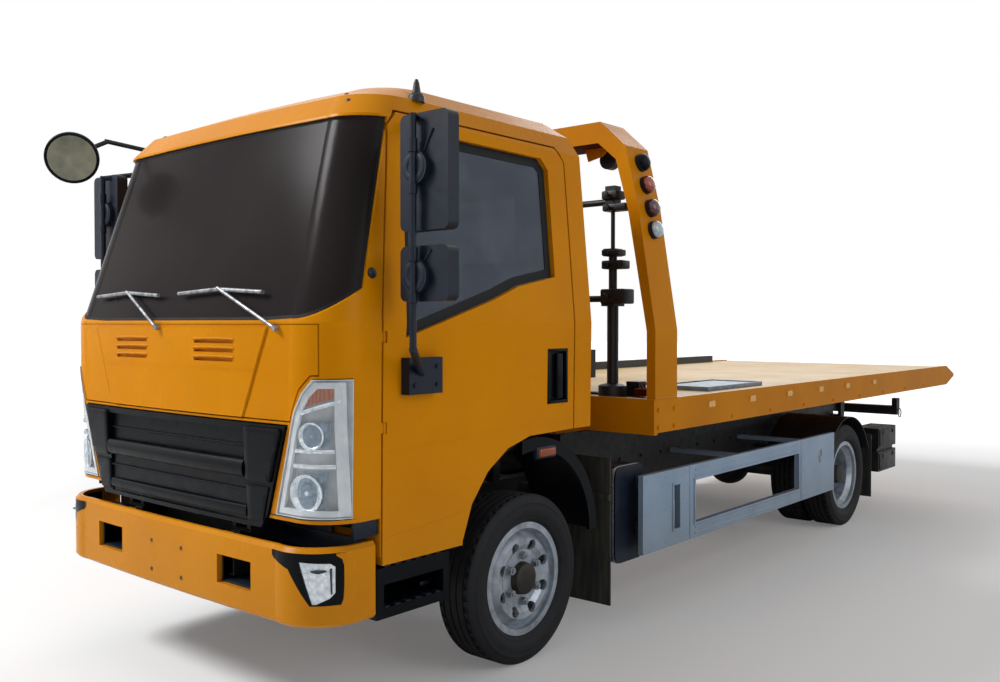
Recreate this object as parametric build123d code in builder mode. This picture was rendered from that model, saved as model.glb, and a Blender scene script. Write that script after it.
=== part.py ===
# Light flatbed tow truck: a tilting cab over the front axle, a sliding and tilting steel
# platform with a lamp arch, and a telescopic wheel lift at the tail.
# X points forward, Y to the truck's left, Z up. Millimetres.
# The origin is on the ground, under the middle of the overall box.
from build123d import *
import math
import os

os.makedirs("parts", exist_ok=True)

# Running gear
FRONT_AXLE = 2400
WHEELBASE = 3800
REAR_AXLE = FRONT_AXLE - WHEELBASE
TYRE_RADIUS = 375
TYRE_WIDTH = 212
RIM_RADIUS = 233
FRONT_TYRE_Y = 848
REAR_OUTER_Y = 854
DUAL_SPACING = 238
KINGPIN_Y = 700
SPINDLE_RADIUS = 32
RUNNING_FIT = 0.05
SEAT_GAP = 0.3

# Cab
CAB_REAR = 1930
CAB_SIDE = 965
CAB_WALL = 60
CAB_RECESS = 35
SHUT_GAP = 9
FLOOR_Z = 785
RAISED_FLOOR_Z = 1018
DOOR_FRONT = 3270
DOOR_REAR = 2070
DOOR_BOTTOM = 604
DOOR_TOP = 2325
ARCH_X = 2340
ARCH_Z = 515
ARCH_RADIUS = 500
PIVOT_X = 3480
PIVOT_Z = 752
PIVOT_Y = 400
PIVOT_PIN = 18
HINGE_X = 3260
HINGE_Y = 955
HINGE_ENDS = [(1100, 1140), (1440, 1480)]

# Bumper and frame
BUMPER_FRONT = 3597
BUMPER_SIDE = 955
BUMPER_END = 3305
BUMPER_LOW = 418
BUMPER_TOP = 704
BUMPER_WALL = 28
RAIL_INNER = 340
RAIL_OUTER = 400
RAIL_LOW = 525
RAIL_TOP = 700
RAIL_FRONT = 3540
RAIL_REAR = -2560
RAIL_STEEL = 9

# Platform, its tilting frame and the wheel lift
DECK_FRONT = 1580
DECK_REAR = -3420
TAIL_TIP = -3648
DECK_SIDE = 1100
DECK_TOP = 1128
DECK_LOW = 960
FLOOR_TOP = 1120
FLOOR_PLATE = 12
RUNNER_IN = 402
RUNNER_OUT = 458
RUNNER_LOW = 905
TILT_X = -2550
TILT_Z = 810
TILT_PIN = 22
TILT_LOW = 762
TILT_TOP = 899
SUB_TOP = 756
LIFT_X = -2450
LIFT_Z = 600
LIFT_PIN = 25
ARCH_BACK = 1355
ARCH_FRONT = 1570

# Kerb mirror: middle of its glass, the way it faces, and its radius.
KERB_CENTRE = (3541, -915, 2296)
KERB_FACING = (0.48, 0.80, -0.36)
KERB_RADIUS = 122

# Cab levels: height, front on the centre line, half width, rear wall.
CAB_LEVELS = [
    (600, 3550, 955, CAB_REAR),
    (1140, 3572, 960, CAB_REAR),
    (1515, 3570, CAB_SIDE, CAB_REAR),
    (2310, 3335, 895, CAB_REAR + 5),
    (2400, 3260, 850, CAB_REAR + 40),
    (2470, 3090, 760, CAB_REAR + 120),
    (2525, 2830, 590, CAB_REAR + 320),
]
ROOF_FROM = 2300
CORNER_DEPTH = 205
CORNER_WIDTH = 200
FRONT_BULGE = 22


def box(x, y, z, mode=Mode.ADD):
    """A block between two values on each axis, joined to the piece in hand."""
    with Locations(((x[0] + x[1]) / 2, (y[0] + y[1]) / 2, (z[0] + z[1]) / 2)):
        Box(abs(x[1] - x[0]), abs(y[1] - y[0]), abs(z[1] - z[0]), mode=mode)


def prism(plane, points, amount, mode=Mode.ADD):
    """A closed outline on a plane, made solid along the plane's normal."""
    with BuildSketch(plane) as outline:
        with BuildLine():
            Polyline(*points, close=True)
        make_face()
    extrude(to_extrude=outline.sketch, amount=amount, mode=mode)


def side_prism(points, low, high, mode=Mode.ADD):
    """A side-view outline in X and Z, solid from y low to y high."""
    prism(Plane.XZ.offset(-high), points, high - low, mode)


def front_prism(points, low, high, mode=Mode.ADD):
    """A front-view outline in Y and Z, solid from x low to x high."""
    prism(Plane.YZ.offset(low), points, high - low, mode)


def rod(start, end, radius, mode=Mode.ADD):
    """A round bar from one point to another."""
    line = Vector(*end) - Vector(*start)
    with BuildSketch(Plane(Vector(*start), z_dir=line)) as circle:
        Circle(radius)
    extrude(to_extrude=circle.sketch, amount=line.length, mode=mode)


def turned(points, x, y, z, mode=Mode.ADD):
    """A turned shape about an axle across the truck, from radius and offset pairs."""
    with BuildSketch(Plane.YZ.offset(x)) as half:
        with BuildLine():
            Polyline(*[(y + off, z + radius) for radius, off in points], close=True)
        make_face()
    revolve(half.sketch, axis=Axis((x, 0, z), (0, 1, 0)), mode=mode)


def plan_section(z, front, half, rear, inset):
    """One level of the cab: straight sides, round front corners, slightly bowed front."""
    depth = CORNER_DEPTH - inset * 0.6
    width = CORNER_WIDTH - inset * 0.6
    nose = front - inset
    side = half - inset
    back = rear + inset
    turn = nose - FRONT_BULGE
    with BuildSketch(Plane.XY.offset(z)) as level:
        with BuildLine():
            Polyline((nose - depth, side), (back, side), (back, -side), (nose - depth, -side))
            TangentArc((nose - depth, -side), (turn, width - side), tangent=(1, 0))
            ThreePointArc((turn, width - side), (nose, 0), (turn, side - width))
            TangentArc((nose - depth, side), (turn, side - width), tangent=(1, 0))
        make_face()
    return level.sketch


def cab_form(inset=0.0):
    """The cab's outer form drawn inwards by an inset; its roof comes down by as much."""
    with BuildPart() as form:
        levels = []
        for z, front, half, rear in CAB_LEVELS:
            drop = inset if z > ROOF_FROM else 0
            levels.append(plan_section(z - drop, front, half, rear, inset))
        loft(sections=levels, ruled=True)
    return form.part


def front_line(y, z):
    """Station of the cab's front face at a width and a height."""
    lower, upper = (CAB_LEVELS[2], CAB_LEVELS[3]) if z > 1515 else (CAB_LEVELS[1], CAB_LEVELS[2])
    share = (z - lower[0]) / (upper[0] - lower[0])
    front = lower[1] + share * (upper[1] - lower[1])
    return front - FRONT_BULGE * (y / 765) ** 2


OUTER = cab_form()
INNER = cab_form(CAB_WALL)
DOOR_BACK = cab_form(CAB_WALL + SHUT_GAP)
FRONT_BACK = cab_form(CAB_RECESS)
FRONT_SEAT = cab_form(CAB_RECESS - 2 * SEAT_GAP)


def door_outline(gap):
    """Side view of a door: it follows the pillar in front and the wheel arch behind."""
    radius = ARCH_RADIUS - gap
    arch = []
    for degrees in (12, 30, 48, 66, 84):
        angle = math.radians(degrees)
        arch.append((ARCH_X + radius * math.cos(angle), ARCH_Z + radius * math.sin(angle)))
    return [
        (DOOR_FRONT + gap, DOOR_BOTTOM - gap),
        (DOOR_FRONT + gap, 1530),
        (3230 + gap, 1886),
        (3182 + gap, 2270),
        (3135 + gap, DOOR_TOP + gap),
        (DOOR_REAR + 60 - gap, DOOR_TOP + gap),
        (DOOR_REAR - gap, DOOR_TOP - 60),
        (DOOR_REAR - gap, RAISED_FLOOR_Z - gap),
        *reversed(arch),
        (ARCH_X + radius * math.cos(math.radians(12)), DOOR_BOTTOM - gap),
    ]


WINDOW = [(3155, 1455), (3112, 2270), (2240, 2262), (2195, 2215), (2195, 1722), (2460, 1672),
          (2625, 1612)]
UNDERSIDE = [(3800, 0), (3800, FLOOR_Z), (3282, FLOOR_Z), (3282, 640), (2840, 640),
             (2825, 700), (2770, 810), (2670, 925), (2530, 1000), (2400, RAISED_FLOOR_Z),
             (1700, RAISED_FLOOR_Z), (1700, 0)]
CABIN = [(3800, 845), (2900, 845), (2850, 1080), (1700, 1080), (1700, 2700), (3800, 2700)]
SCREEN = [(3800, 1522), (3545, 1522), (3358, 1640), (3180, 2300), (3800, 2300)]
REAR_WINDOW = [(-560, 1640), (560, 1640), (540, 2150), (-540, 2150)]
LID_HALF = 890
LID_LOW = 1150
LID_TOP = 1508
LAMP_LOW = 800
LAMP_TOP = 1312
LAMP_REAR = 3408
GRILLE_LOW = 740
GRILLE_TOP = 1141


def lamp_outline(gap, side=1):
    """Front view of a headlamp: its inner edge leans out towards the top."""
    points = [(672 + gap, LAMP_LOW + gap), (790 + gap, 1190), (825 + gap, 1262 - gap),
              (870, LAMP_TOP - gap), (1100, LAMP_TOP - gap), (1100, LAMP_LOW + gap)]
    return [(side * y, z) for y, z in points]


def grille_outline(gap):
    """Front view of the grille: it narrows downwards between the lamps."""
    half = [(600 - gap, GRILLE_LOW + gap), (640 - gap, LAMP_LOW), (758 - gap, GRILLE_TOP - gap)]
    return half + [(-y, z) for y, z in reversed(half)]


def lid_outline(gap):
    """Front view of the front lid: it steps out over the lamps."""
    half = [(772 - gap, LID_LOW + gap), (782 - gap, 1190), (817 - gap, 1268 + gap),
            (864 - gap, LAMP_TOP + 8 + gap), (LID_HALF - gap, LAMP_TOP + 8 + gap),
            (LID_HALF - gap, LID_TOP - gap / 2)]
    return half + [(-y, z) for y, z in reversed(half)]


# The hollows that the front lid, the grille and the lamps lie in
with BuildPart() as front_recess:
    front_prism(lamp_outline(0), LAMP_REAR, 3800)
    front_prism(lamp_outline(0, -1), LAMP_REAR, 3800)
    front_prism(grille_outline(0), LAMP_REAR, 3800)
    front_prism(lid_outline(0), 3300, 3800)
    add(FRONT_BACK, mode=Mode.SUBTRACT)

# The two door openings, a little deeper than the wall
with BuildPart() as door_openings:
    side_prism(door_outline(SHUT_GAP), -1500, 1500)
    add(DOOR_BACK, mode=Mode.SUBTRACT)

with BuildPart() as cabin_space:
    add(INNER)
    side_prism(CABIN, -1500, 1500, mode=Mode.INTERSECT)

with BuildPart() as step_wells:
    for side in (1, -1):
        box((2880, 3240), (side * 640, side * 890), (700, 900))
    add(DOOR_BACK, mode=Mode.INTERSECT)

# Cab shell: pressed steel floor, pillars, roof and rear wall, with two pivot lugs in front
with BuildPart() as cab_shell:
    add(OUTER)
    add(cabin_space.part, mode=Mode.SUBTRACT)
    side_prism(UNDERSIDE, -1500, 1500, mode=Mode.SUBTRACT)
    box((2780, 3800), (-620, 620), (500, FLOOR_Z), mode=Mode.SUBTRACT)
    add(step_wells.part, mode=Mode.SUBTRACT)
    add(front_recess.part, mode=Mode.SUBTRACT)
    add(door_openings.part, mode=Mode.SUBTRACT)
    side_prism(SCREEN, -1500, 1500, mode=Mode.SUBTRACT)
    front_prism(REAR_WINDOW, 1800, 2300, mode=Mode.SUBTRACT)
    for side in (1, -1):
        box((PIVOT_X - 28, PIVOT_X + 28), (side * (PIVOT_Y - 30), side * (PIVOT_Y + 30)),
            (PIVOT_Z - 26, PIVOT_Z + 60))
        rod((PIVOT_X, side * (PIVOT_Y - 31), PIVOT_Z), (PIVOT_X, side * (PIVOT_Y + 31), PIVOT_Z),
            PIVOT_PIN + RUNNING_FIT, mode=Mode.SUBTRACT)
        for low, high in HINGE_ENDS:
            rod((HINGE_X, side * HINGE_Y, low), (HINGE_X, side * HINGE_Y, high), 6)
            box((HINGE_X, HINGE_X + 30), (side * (HINGE_Y - 5), side * (HINGE_Y + 1)), (low, high))
            rod((HINGE_X, side * HINGE_Y, low - 1), (HINGE_X, side * HINGE_Y, high + 1),
                3 + RUNNING_FIT, mode=Mode.SUBTRACT)
cab_shell.part.label = "cab_shell"
export_step(cab_shell.part, "parts/cab_shell.step")

# Windscreen: one bowed pane in the front opening
with BuildPart() as windscreen:
    add(cab_form(10))
    add(cab_form(18), mode=Mode.SUBTRACT)
    side_prism(SCREEN, -1500, 1500, mode=Mode.INTERSECT)
windscreen.part.label = "windscreen"
export_step(windscreen.part, "parts/windscreen.step")

with BuildPart() as rear_window:
    front_prism(REAR_WINDOW, CAB_REAR + 22, CAB_REAR + 28)
rear_window.part.label = "rear_window"
export_step(rear_window.part, "parts/rear_window.step")

# Doors: pressed leaf as thick as the wall, with a cut window and a hollow for the handle
for side, name in ((1, "left"), (-1, "right")):
    with BuildPart() as door:
        side_prism(door_outline(0), min(0, side * 1500), max(0, side * 1500))
        add(OUTER, mode=Mode.INTERSECT)
        add(INNER, mode=Mode.SUBTRACT)
        side_prism(WINDOW, -1500, 1500, mode=Mode.SUBTRACT)
        box((2120, 2270), (side * 935, side * 1200), (1145, 1395), mode=Mode.SUBTRACT)
        for low, high in HINGE_ENDS:
            box((HINGE_X - 9, HINGE_X + 30), (side * (HINGE_Y - 9), side * 1000),
                (low - 1.5, high + 1.5), mode=Mode.SUBTRACT)
            rod((HINGE_X, side * HINGE_Y, low - 14), (HINGE_X, side * HINGE_Y, high + 14), 3)
    door.part.label = f"door_{name}"
    export_step(door.part, f"parts/door_{name}.step")
    with BuildPart() as glass:
        side_prism(WINDOW, min(0, side * 1500), max(0, side * 1500))
        add(cab_form(24), mode=Mode.INTERSECT)
        add(cab_form(30), mode=Mode.SUBTRACT)
    glass.part.label = f"door_glass_{name}"
    export_step(glass.part, f"parts/door_glass_{name}.step")
    # Tall mirror on a tube beside the door, held at the window frame and on a foot below
    tube_y = side * 1130
    with BuildPart() as mirror_arm:
        for low, high in ((1845, 2268), (1590, 1790)):
            box((3196, 3252), (side * 1036, side * 1278), (low, high))
        fillet(mirror_arm.edges().filter_by(Axis.X), 26)
        for pivot in (2070, 1680):
            rod((3251, tube_y, pivot), (3276, tube_y, pivot), 62)
        rod((3280, tube_y, 1405), (3280, tube_y, 2262), 13)
        rod((3280, tube_y, 2250), (3022, side * 916, 2300), 13)
        rod((3280, tube_y, 1417), (3110, side * 1000, 1320), 15)
        box((2990, 3055), (side * 898.6, side * 926), (2280, 2320))
        box((3000, 3180), (side * 964, side * 1008), (1240, 1380))
    mirror_arm.part.label = f"mirror_{name}"
    export_step(mirror_arm.part, f"parts/mirror_{name}.step")

# Front lid: a panel with a raised centre and three slits on each side
with BuildPart() as front_lid:
    front_prism(lid_outline(5), 3300, 3800)
    add(OUTER, mode=Mode.INTERSECT)
    front_prism([(-495, LID_LOW + 5), (495, LID_LOW + 5), (645, 1496), (-645, 1496)], 3500, 3800)
    add(cab_form(-6), mode=Mode.INTERSECT)
    add(FRONT_SEAT, mode=Mode.SUBTRACT)
    for y in (312, -312):
        for z in (1370, 1405, 1440):
            box((3558, 3600), (y - 130, y + 130), (z - 7, z + 7), mode=Mode.SUBTRACT)
front_lid.part.label = "front_lid"
export_step(front_lid.part, "parts/front_lid.step")

# Grille: broad end blocks and four cross bars over a shallow well
with BuildPart() as grille:
    front_prism(grille_outline(5), 3300, 3800)
    add(cab_form(-10), mode=Mode.INTERSECT)
    add(FRONT_SEAT, mode=Mode.SUBTRACT)
    for low, high in ((762, 782), (815, 938), (985, 1112)):
        box((3552, 3600), (-515, 515), (low, high), mode=Mode.SUBTRACT)
    for side in (1, -1):
        rod((PIVOT_X, side * 325, PIVOT_Z), (PIVOT_X, side * 478, PIVOT_Z), 62,
            mode=Mode.SUBTRACT)
grille.part.label = "grille"
export_step(grille.part, "parts/grille.step")

with BuildPart() as headlamps:
    for side in (1, -1):
        front_prism(lamp_outline(4, side), LAMP_REAR + 4, 3800)
    add(cab_form(-4), mode=Mode.INTERSECT)
    add(FRONT_SEAT, mode=Mode.SUBTRACT)
headlamps.part.label = "headlamps"
export_step(headlamps.part, "parts/headlamps.step")

# Wipers: a pivot, an arm and a blade each
with BuildPart() as wipers:
    for pivot, bend, inner_end, outer_end, seat in ((700, 300, 30, 590, 0.8),
                                                    (-80, -410, -690, -130, 6.8)):
        base = (front_line(pivot, 1500) + seat, pivot, 1494)
        knee = (front_line(bend, 1650) + 16, bend, 1650)
        rod(base, (base[0] + 20, pivot, 1494), 11)
        rod((base[0] + 14, pivot, 1494), knee, 7)
        rod((front_line(inner_end, 1632) + 13, inner_end, 1632),
            (front_line(bend, 1650) + 13, bend, 1645), 8)
        rod((front_line(outer_end, 1628) + 13, outer_end, 1628),
            (front_line(bend, 1650) + 13, bend, 1645), 8)
wipers.part.label = "wipers"
export_step(wipers.part, "parts/wipers.step")

# Kerb mirror: a round head hung in front of the right pillar from a bent arm
with BuildPart() as kerb_mirror:
    rod((3120, -872, 2372), (3370, -930, 2404), 11)
    rod((3362, -928, 2400), (3518, -952, 2316), 11)
    for depth, radius in ((16, KERB_RADIUS), (30, 100), (46, 62)):
        back = [at - depth * way for at, way in zip(KERB_CENTRE, KERB_FACING)]
        rod(KERB_CENTRE, back, radius)
kerb_mirror.part.label = "kerb_mirror"
export_step(kerb_mirror.part, "parts/kerb_mirror.step")

# Seats: driver's seat on the left, bench for two on the right
with BuildPart() as seats:
    for low, high in ((250, 720), (-720, 130)):
        box((2030, 2570), (low, high), (1080.3, 1262))
        box((1996, 2110), (low, high), (1262.3, 1840))
    fillet(seats.edges().filter_by(Axis.Y), 20)
seats.part.label = "seats"
export_step(seats.part, "parts/seats.step")

with BuildPart() as dashboard:
    side_prism([(3500, 1090), (3200, 1150), (3160, 1290), (3280, 1400), (3500, 1445)], -1100, 1100)
    add(cab_form(CAB_WALL + SEAT_GAP), mode=Mode.INTERSECT)
    box((3000, 3700), (-1100, -860), (1000, 1500), mode=Mode.SUBTRACT)
    box((3000, 3700), (860, 1100), (1000, 1500), mode=Mode.SUBTRACT)
dashboard.part.label = "dashboard"
export_step(dashboard.part, "parts/dashboard.step")

with BuildPart() as steering_wheel:
    rod((3143, 450, 1269), (2965, 450, 1425), 26)
    with Locations(Plane((2960, 450, 1430), z_dir=(-193, 0, 167))):
        Torus(196, 14)
        Cylinder(45, 40)
        Box(28, 388, 12)
steering_wheel.part.label = "steering_wheel"
export_step(steering_wheel.part, "parts/steering_wheel.step")

# Wheel arch liners under the cab, each with a skirt along its outer edge
with BuildPart() as arch_liners:
    for side in (1, -1):
        turned([(466, 0), (484, 0), (484, side * 385), (425, side * 385), (425, side * 365),
                (466, side * 365)], ARCH_X, side * 560, ARCH_Z)
        box((2180, 2260), (side * 600, side * 680), (985, RAISED_FLOOR_Z - SEAT_GAP))
        box((ARCH_X - 700, ARCH_X + 700), (side * 500, side * 1000), (-100, ARCH_Z),
            mode=Mode.SUBTRACT)
        box((2430, 2900), (side * 924, side * 946), (ARCH_Z - 1, 1020), mode=Mode.SUBTRACT)
        box((2600, 2900), (side * 500, side * 1000), (ARCH_Z - 1, 612), mode=Mode.SUBTRACT)
arch_liners.part.label = "arch_liners"
export_step(arch_liners.part, "parts/arch_liners.step")

# Bumper: a folded steel beam round the front, open behind


def bumper_plan(z, inset):
    """The bumper's outline in plan at a height, drawn inwards by an inset."""
    nose = BUMPER_FRONT - 12 - inset
    side = BUMPER_SIDE - inset
    depth = 190 - inset * 0.6
    width = 230 - inset * 0.6
    with BuildSketch(Plane.XY.offset(z)) as plan:
        with BuildLine():
            Polyline((nose - depth, side), (BUMPER_END, side), (BUMPER_END, -side),
                     (nose - depth, -side))
            TangentArc((nose - depth, -side), (nose, width - side), tangent=(1, 0))
            ThreePointArc((nose, width - side), (nose + 12, 0), (nose, side - width))
            TangentArc((nose - depth, side), (nose, side - width), tangent=(1, 0))
        make_face()
    return plan.sketch


def bumper_form(levels):
    """The bumper's form from pairs of height and inset."""
    with BuildPart() as form:
        loft(sections=[bumper_plan(z, inset) for z, inset in levels], ruled=True)
    return form.part


BUMPER_OUTER = bumper_form([(BUMPER_LOW, 12), (BUMPER_LOW + 14, 0), (BUMPER_TOP - 16, 0),
                            (BUMPER_TOP, 12)])
BUMPER_INNER = bumper_form([(BUMPER_LOW, BUMPER_WALL), (BUMPER_TOP, BUMPER_WALL)])


def fog_outline(side, gap):
    """Front view of a fog lamp: a thin tip inwards, widening to the bumper's corner."""
    return [(side * y, z) for y, z in [
        (706 + gap, 668 + gap), (706 + gap, 688 - gap), (1000, 688 - gap), (1000, 500 + gap),
        (877 + gap, 500 + gap), (798 + gap, 627 + gap), (718 + gap, 655 + gap)]]


with BuildPart() as front_bumper:
    add(BUMPER_OUTER)
    add(BUMPER_INNER, mode=Mode.SUBTRACT)
    for side in (1, -1):
        box((RAIL_FRONT + SEAT_GAP, BUMPER_FRONT - 15), (side * RAIL_INNER, side * RAIL_OUTER),
            (626, 696))
        box((3500, 3700), (side * 364, side * 579), (507, 618), mode=Mode.SUBTRACT)
        front_prism(fog_outline(side, 0), 3400, 3700, mode=Mode.SUBTRACT)
    with Locations(Plane((BUMPER_FRONT + 20, 0, 540), z_dir=(-1, 0, 0))):
        with GridLocations(120, 227, 2, 2):
            Cylinder(3.5, 200, mode=Mode.SUBTRACT)
front_bumper.part.label = "front_bumper"
export_step(front_bumper.part, "parts/front_bumper.step")

with BuildPart() as fog_lamps:
    for side in (1, -1):
        front_prism(fog_outline(side, SEAT_GAP), 3400 + SEAT_GAP, 3700)
    add(BUMPER_OUTER, mode=Mode.INTERSECT)
    add(BUMPER_INNER, mode=Mode.SUBTRACT)
fog_lamps.part.label = "fog_lamps"
export_step(fog_lamps.part, "parts/fog_lamps.step")

# Chassis frame: two channel rails, cross members, cab pivots in front and a cab rest behind
with BuildPart() as chassis_frame:
    for side in (1, -1):
        front_prism([(side * RAIL_INNER, RAIL_LOW), (side * RAIL_OUTER, RAIL_LOW),
                     (side * RAIL_OUTER, RAIL_TOP), (side * RAIL_INNER, RAIL_TOP),
                     (side * RAIL_INNER, RAIL_TOP - RAIL_STEEL),
                     (side * (RAIL_OUTER - RAIL_STEEL), RAIL_TOP - RAIL_STEEL),
                     (side * (RAIL_OUTER - RAIL_STEEL), RAIL_LOW + RAIL_STEEL),
                     (side * RAIL_INNER, RAIL_LOW + RAIL_STEEL)], RAIL_REAR, RAIL_FRONT)
        box((3440, 3520), (side * RAIL_INNER, side * 462), (RAIL_TOP - 2, RAIL_TOP + 8))
        for inner, outer in ((340, 364), (436, 462)):
            box((PIVOT_X - 26, PIVOT_X + 26), (side * inner, side * outer), (RAIL_TOP, PIVOT_Z))
            rod((PIVOT_X, side * inner, PIVOT_Z), (PIVOT_X, side * outer, PIVOT_Z), 26)
        side_prism([(3498, 709), (3541, 666), (3541, 709)], min(side * 330, side * 470),
                   max(side * 330, side * 470), mode=Mode.SUBTRACT)
        rod((PIVOT_X, side * 345, PIVOT_Z), (PIVOT_X, side * 455, PIVOT_Z), PIVOT_PIN)
        box((1945, 1995), (side * 345, side * 400), (RAIL_TOP, RAISED_FLOOR_Z - SEAT_GAP))
    box((1945, 1995), (-345, 345), (930, 990))
    for x in (3380, 1760, 700, -500, -1950, -2300):
        box((x - 35, x + 35), (-RAIL_OUTER + 4, RAIL_OUTER - 4), (634, 688))
chassis_frame.part.label = "chassis_frame"
export_step(chassis_frame.part, "parts/chassis_frame.step")

# Engine and gearbox as one plain block, hung between the rails
with BuildPart() as engine_block:
    box((2020, 2430), (-300, 300), (450, 985))
    for side in (1, -1):
        box((2180, 2260), (side * 290, side * (RAIL_OUTER - RAIL_STEEL - SEAT_GAP)), (590, 650))
engine_block.part.label = "engine_block"
export_step(engine_block.part, "parts/engine_block.step")


def leaf_spring(x, length, y, seat, ends):
    """A leaf pack that sags to its seat between two hangers under the rail."""
    low = [(x - length, ends), (x - length / 2, seat + 22), (x, seat), (x + length / 2, seat + 22),
           (x + length, ends)]
    high = [(x + length, ends + 26), (x + length / 2, seat + 66), (x, seat + 58),
            (x - length / 2, seat + 66), (x - length, ends + 26)]
    side_prism(low + high, y - 35, y + 35)
    for end in (x - length, x + length):
        box((end - 22, end + 22), (y - 30, y + 30), (ends - 8, RAIL_LOW - SEAT_GAP))


# Front axle: a drop beam with an eye at each end for the steering knuckle
with BuildPart() as front_axle:
    front_prism([(-660, 340), (-560, 335), (-460, 292), (460, 292), (560, 335), (660, 340),
                 (660, 410), (560, 408), (460, 365), (-460, 365), (-560, 408), (-660, 410)],
                FRONT_AXLE - 38, FRONT_AXLE + 38)
    for side in (1, -1):
        rod((FRONT_AXLE, side * KINGPIN_Y, 330), (FRONT_AXLE, side * KINGPIN_Y, 420), 44)
        rod((FRONT_AXLE, side * KINGPIN_Y, 320), (FRONT_AXLE, side * KINGPIN_Y, 430),
            18 + RUNNING_FIT, mode=Mode.SUBTRACT)
        leaf_spring(FRONT_AXLE, 560, side * 370, 364, 478)
front_axle.part.label = "front_axle"
export_step(front_axle.part, "parts/front_axle.step")

# Rear axle: a banjo housing on leaf springs, with the propeller shaft in front of it
with BuildPart() as rear_axle:
    rod((REAR_AXLE, -720, TYRE_RADIUS), (REAR_AXLE, 720, TYRE_RADIUS), 62)
    rod((REAR_AXLE, -885, TYRE_RADIUS), (REAR_AXLE, 885, TYRE_RADIUS), SPINDLE_RADIUS)
    with Locations((REAR_AXLE, 0, TYRE_RADIUS)):
        Sphere(165)
    rod((REAR_AXLE + 120, 0, TYRE_RADIUS), (2010, 0, 600), 38)
    for side in (1, -1):
        leaf_spring(REAR_AXLE, 620, side * 370, 432, 478)
rear_axle.part.label = "rear_axle"
export_step(rear_axle.part, "parts/rear_axle.step")

# Steering knuckles: a fork round the axle's eye, its kingpin and the wheel spindle
for side, name in ((1, "left"), (-1, "right")):
    king_y = side * KINGPIN_Y
    with BuildPart() as knuckle:
        rod((FRONT_AXLE, king_y, 302), (FRONT_AXLE, king_y, 448), 18)
        for low, high in ((296, 324), (426, 454)):
            rod((FRONT_AXLE, king_y, low), (FRONT_AXLE, king_y, high), 42)
            box((FRONT_AXLE - 42, FRONT_AXLE + 42), (king_y, side * 772), (low, high))
        box((FRONT_AXLE - 42, FRONT_AXLE + 42), (side * 750, side * 772), (296, 454))
        rod((FRONT_AXLE, side * 770, TYRE_RADIUS), (FRONT_AXLE, side * 900, TYRE_RADIUS),
            SPINDLE_RADIUS)
        box((FRONT_AXLE - 200, FRONT_AXLE - 20), (king_y - 18, king_y + 18), (296, 324))
    knuckle.part.label = f"knuckle_{name}"
    export_step(knuckle.part, f"parts/knuckle_{name}.step")


def tyre_shape(x, y):
    """A tyre's section: flat tread, round shoulders, bulged sidewalls and beads."""
    half = TYRE_WIDTH / 2
    top = TYRE_RADIUS
    outside = [(RIM_RADIUS, 78), (RIM_RADIUS + 19, 78), (RIM_RADIUS + 28, 93),
               (RIM_RADIUS + 64, half),
               (top - 40, half - 2), (top - 14, half - 12), (top, half - 24)]
    inside = [(top - 16, -72), (top - 46, -92), (RIM_RADIUS + 60, -90), (RIM_RADIUS + 24, -68),
              (RIM_RADIUS, -60)]
    section = outside + [(radius, -off) for radius, off in reversed(outside)]
    section += [(radius, off) for radius, off in reversed(inside)]
    section += [(radius, -off) for radius, off in inside]
    turned(section, x, y, TYRE_RADIUS)


def rim_section(out):
    """A drop-centre rim under its tyre; out is +1 or -1, the side the well lies away from."""
    points = [(RIM_RADIUS + 17, -84), (RIM_RADIUS + 17, -78.3), (RIM_RADIUS - 0.3, -78.3),
              (RIM_RADIUS - 2, -60), (RIM_RADIUS - 26, -30), (RIM_RADIUS - 26, 10),
              (RIM_RADIUS - 2, 60), (RIM_RADIUS - 0.3, 78.3), (RIM_RADIUS + 17, 78.3),
              (RIM_RADIUS + 17, 84), (RIM_RADIUS - 10, 84), (RIM_RADIUS - 10, 62),
              (RIM_RADIUS - 36, 10), (RIM_RADIUS - 36, -30), (RIM_RADIUS - 12, -62),
              (RIM_RADIUS - 10, -84)]
    return [(radius, out * off) for radius, off in points]


def wheel_holes(x, y, reach):
    """Eight round hand holes through a wheel disc."""
    for number in range(8):
        angle = math.radians(45 * number + 22.5)
        hole_x = x + 152 * math.cos(angle)
        hole_z = TYRE_RADIUS + 152 * math.sin(angle)
        rod((hole_x, y - reach, hole_z), (hole_x, y + reach, hole_z), 24, mode=Mode.SUBTRACT)


def wheel_nuts(x, y0, y1):
    """Six wheel nuts standing on the disc."""
    for number in range(6):
        angle = math.radians(60 * number + 30)
        nut_x = x + 102 * math.cos(angle)
        nut_z = TYRE_RADIUS + 102 * math.sin(angle)
        rod((nut_x, y0, nut_z), (nut_x, y1, nut_z), 15)


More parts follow.
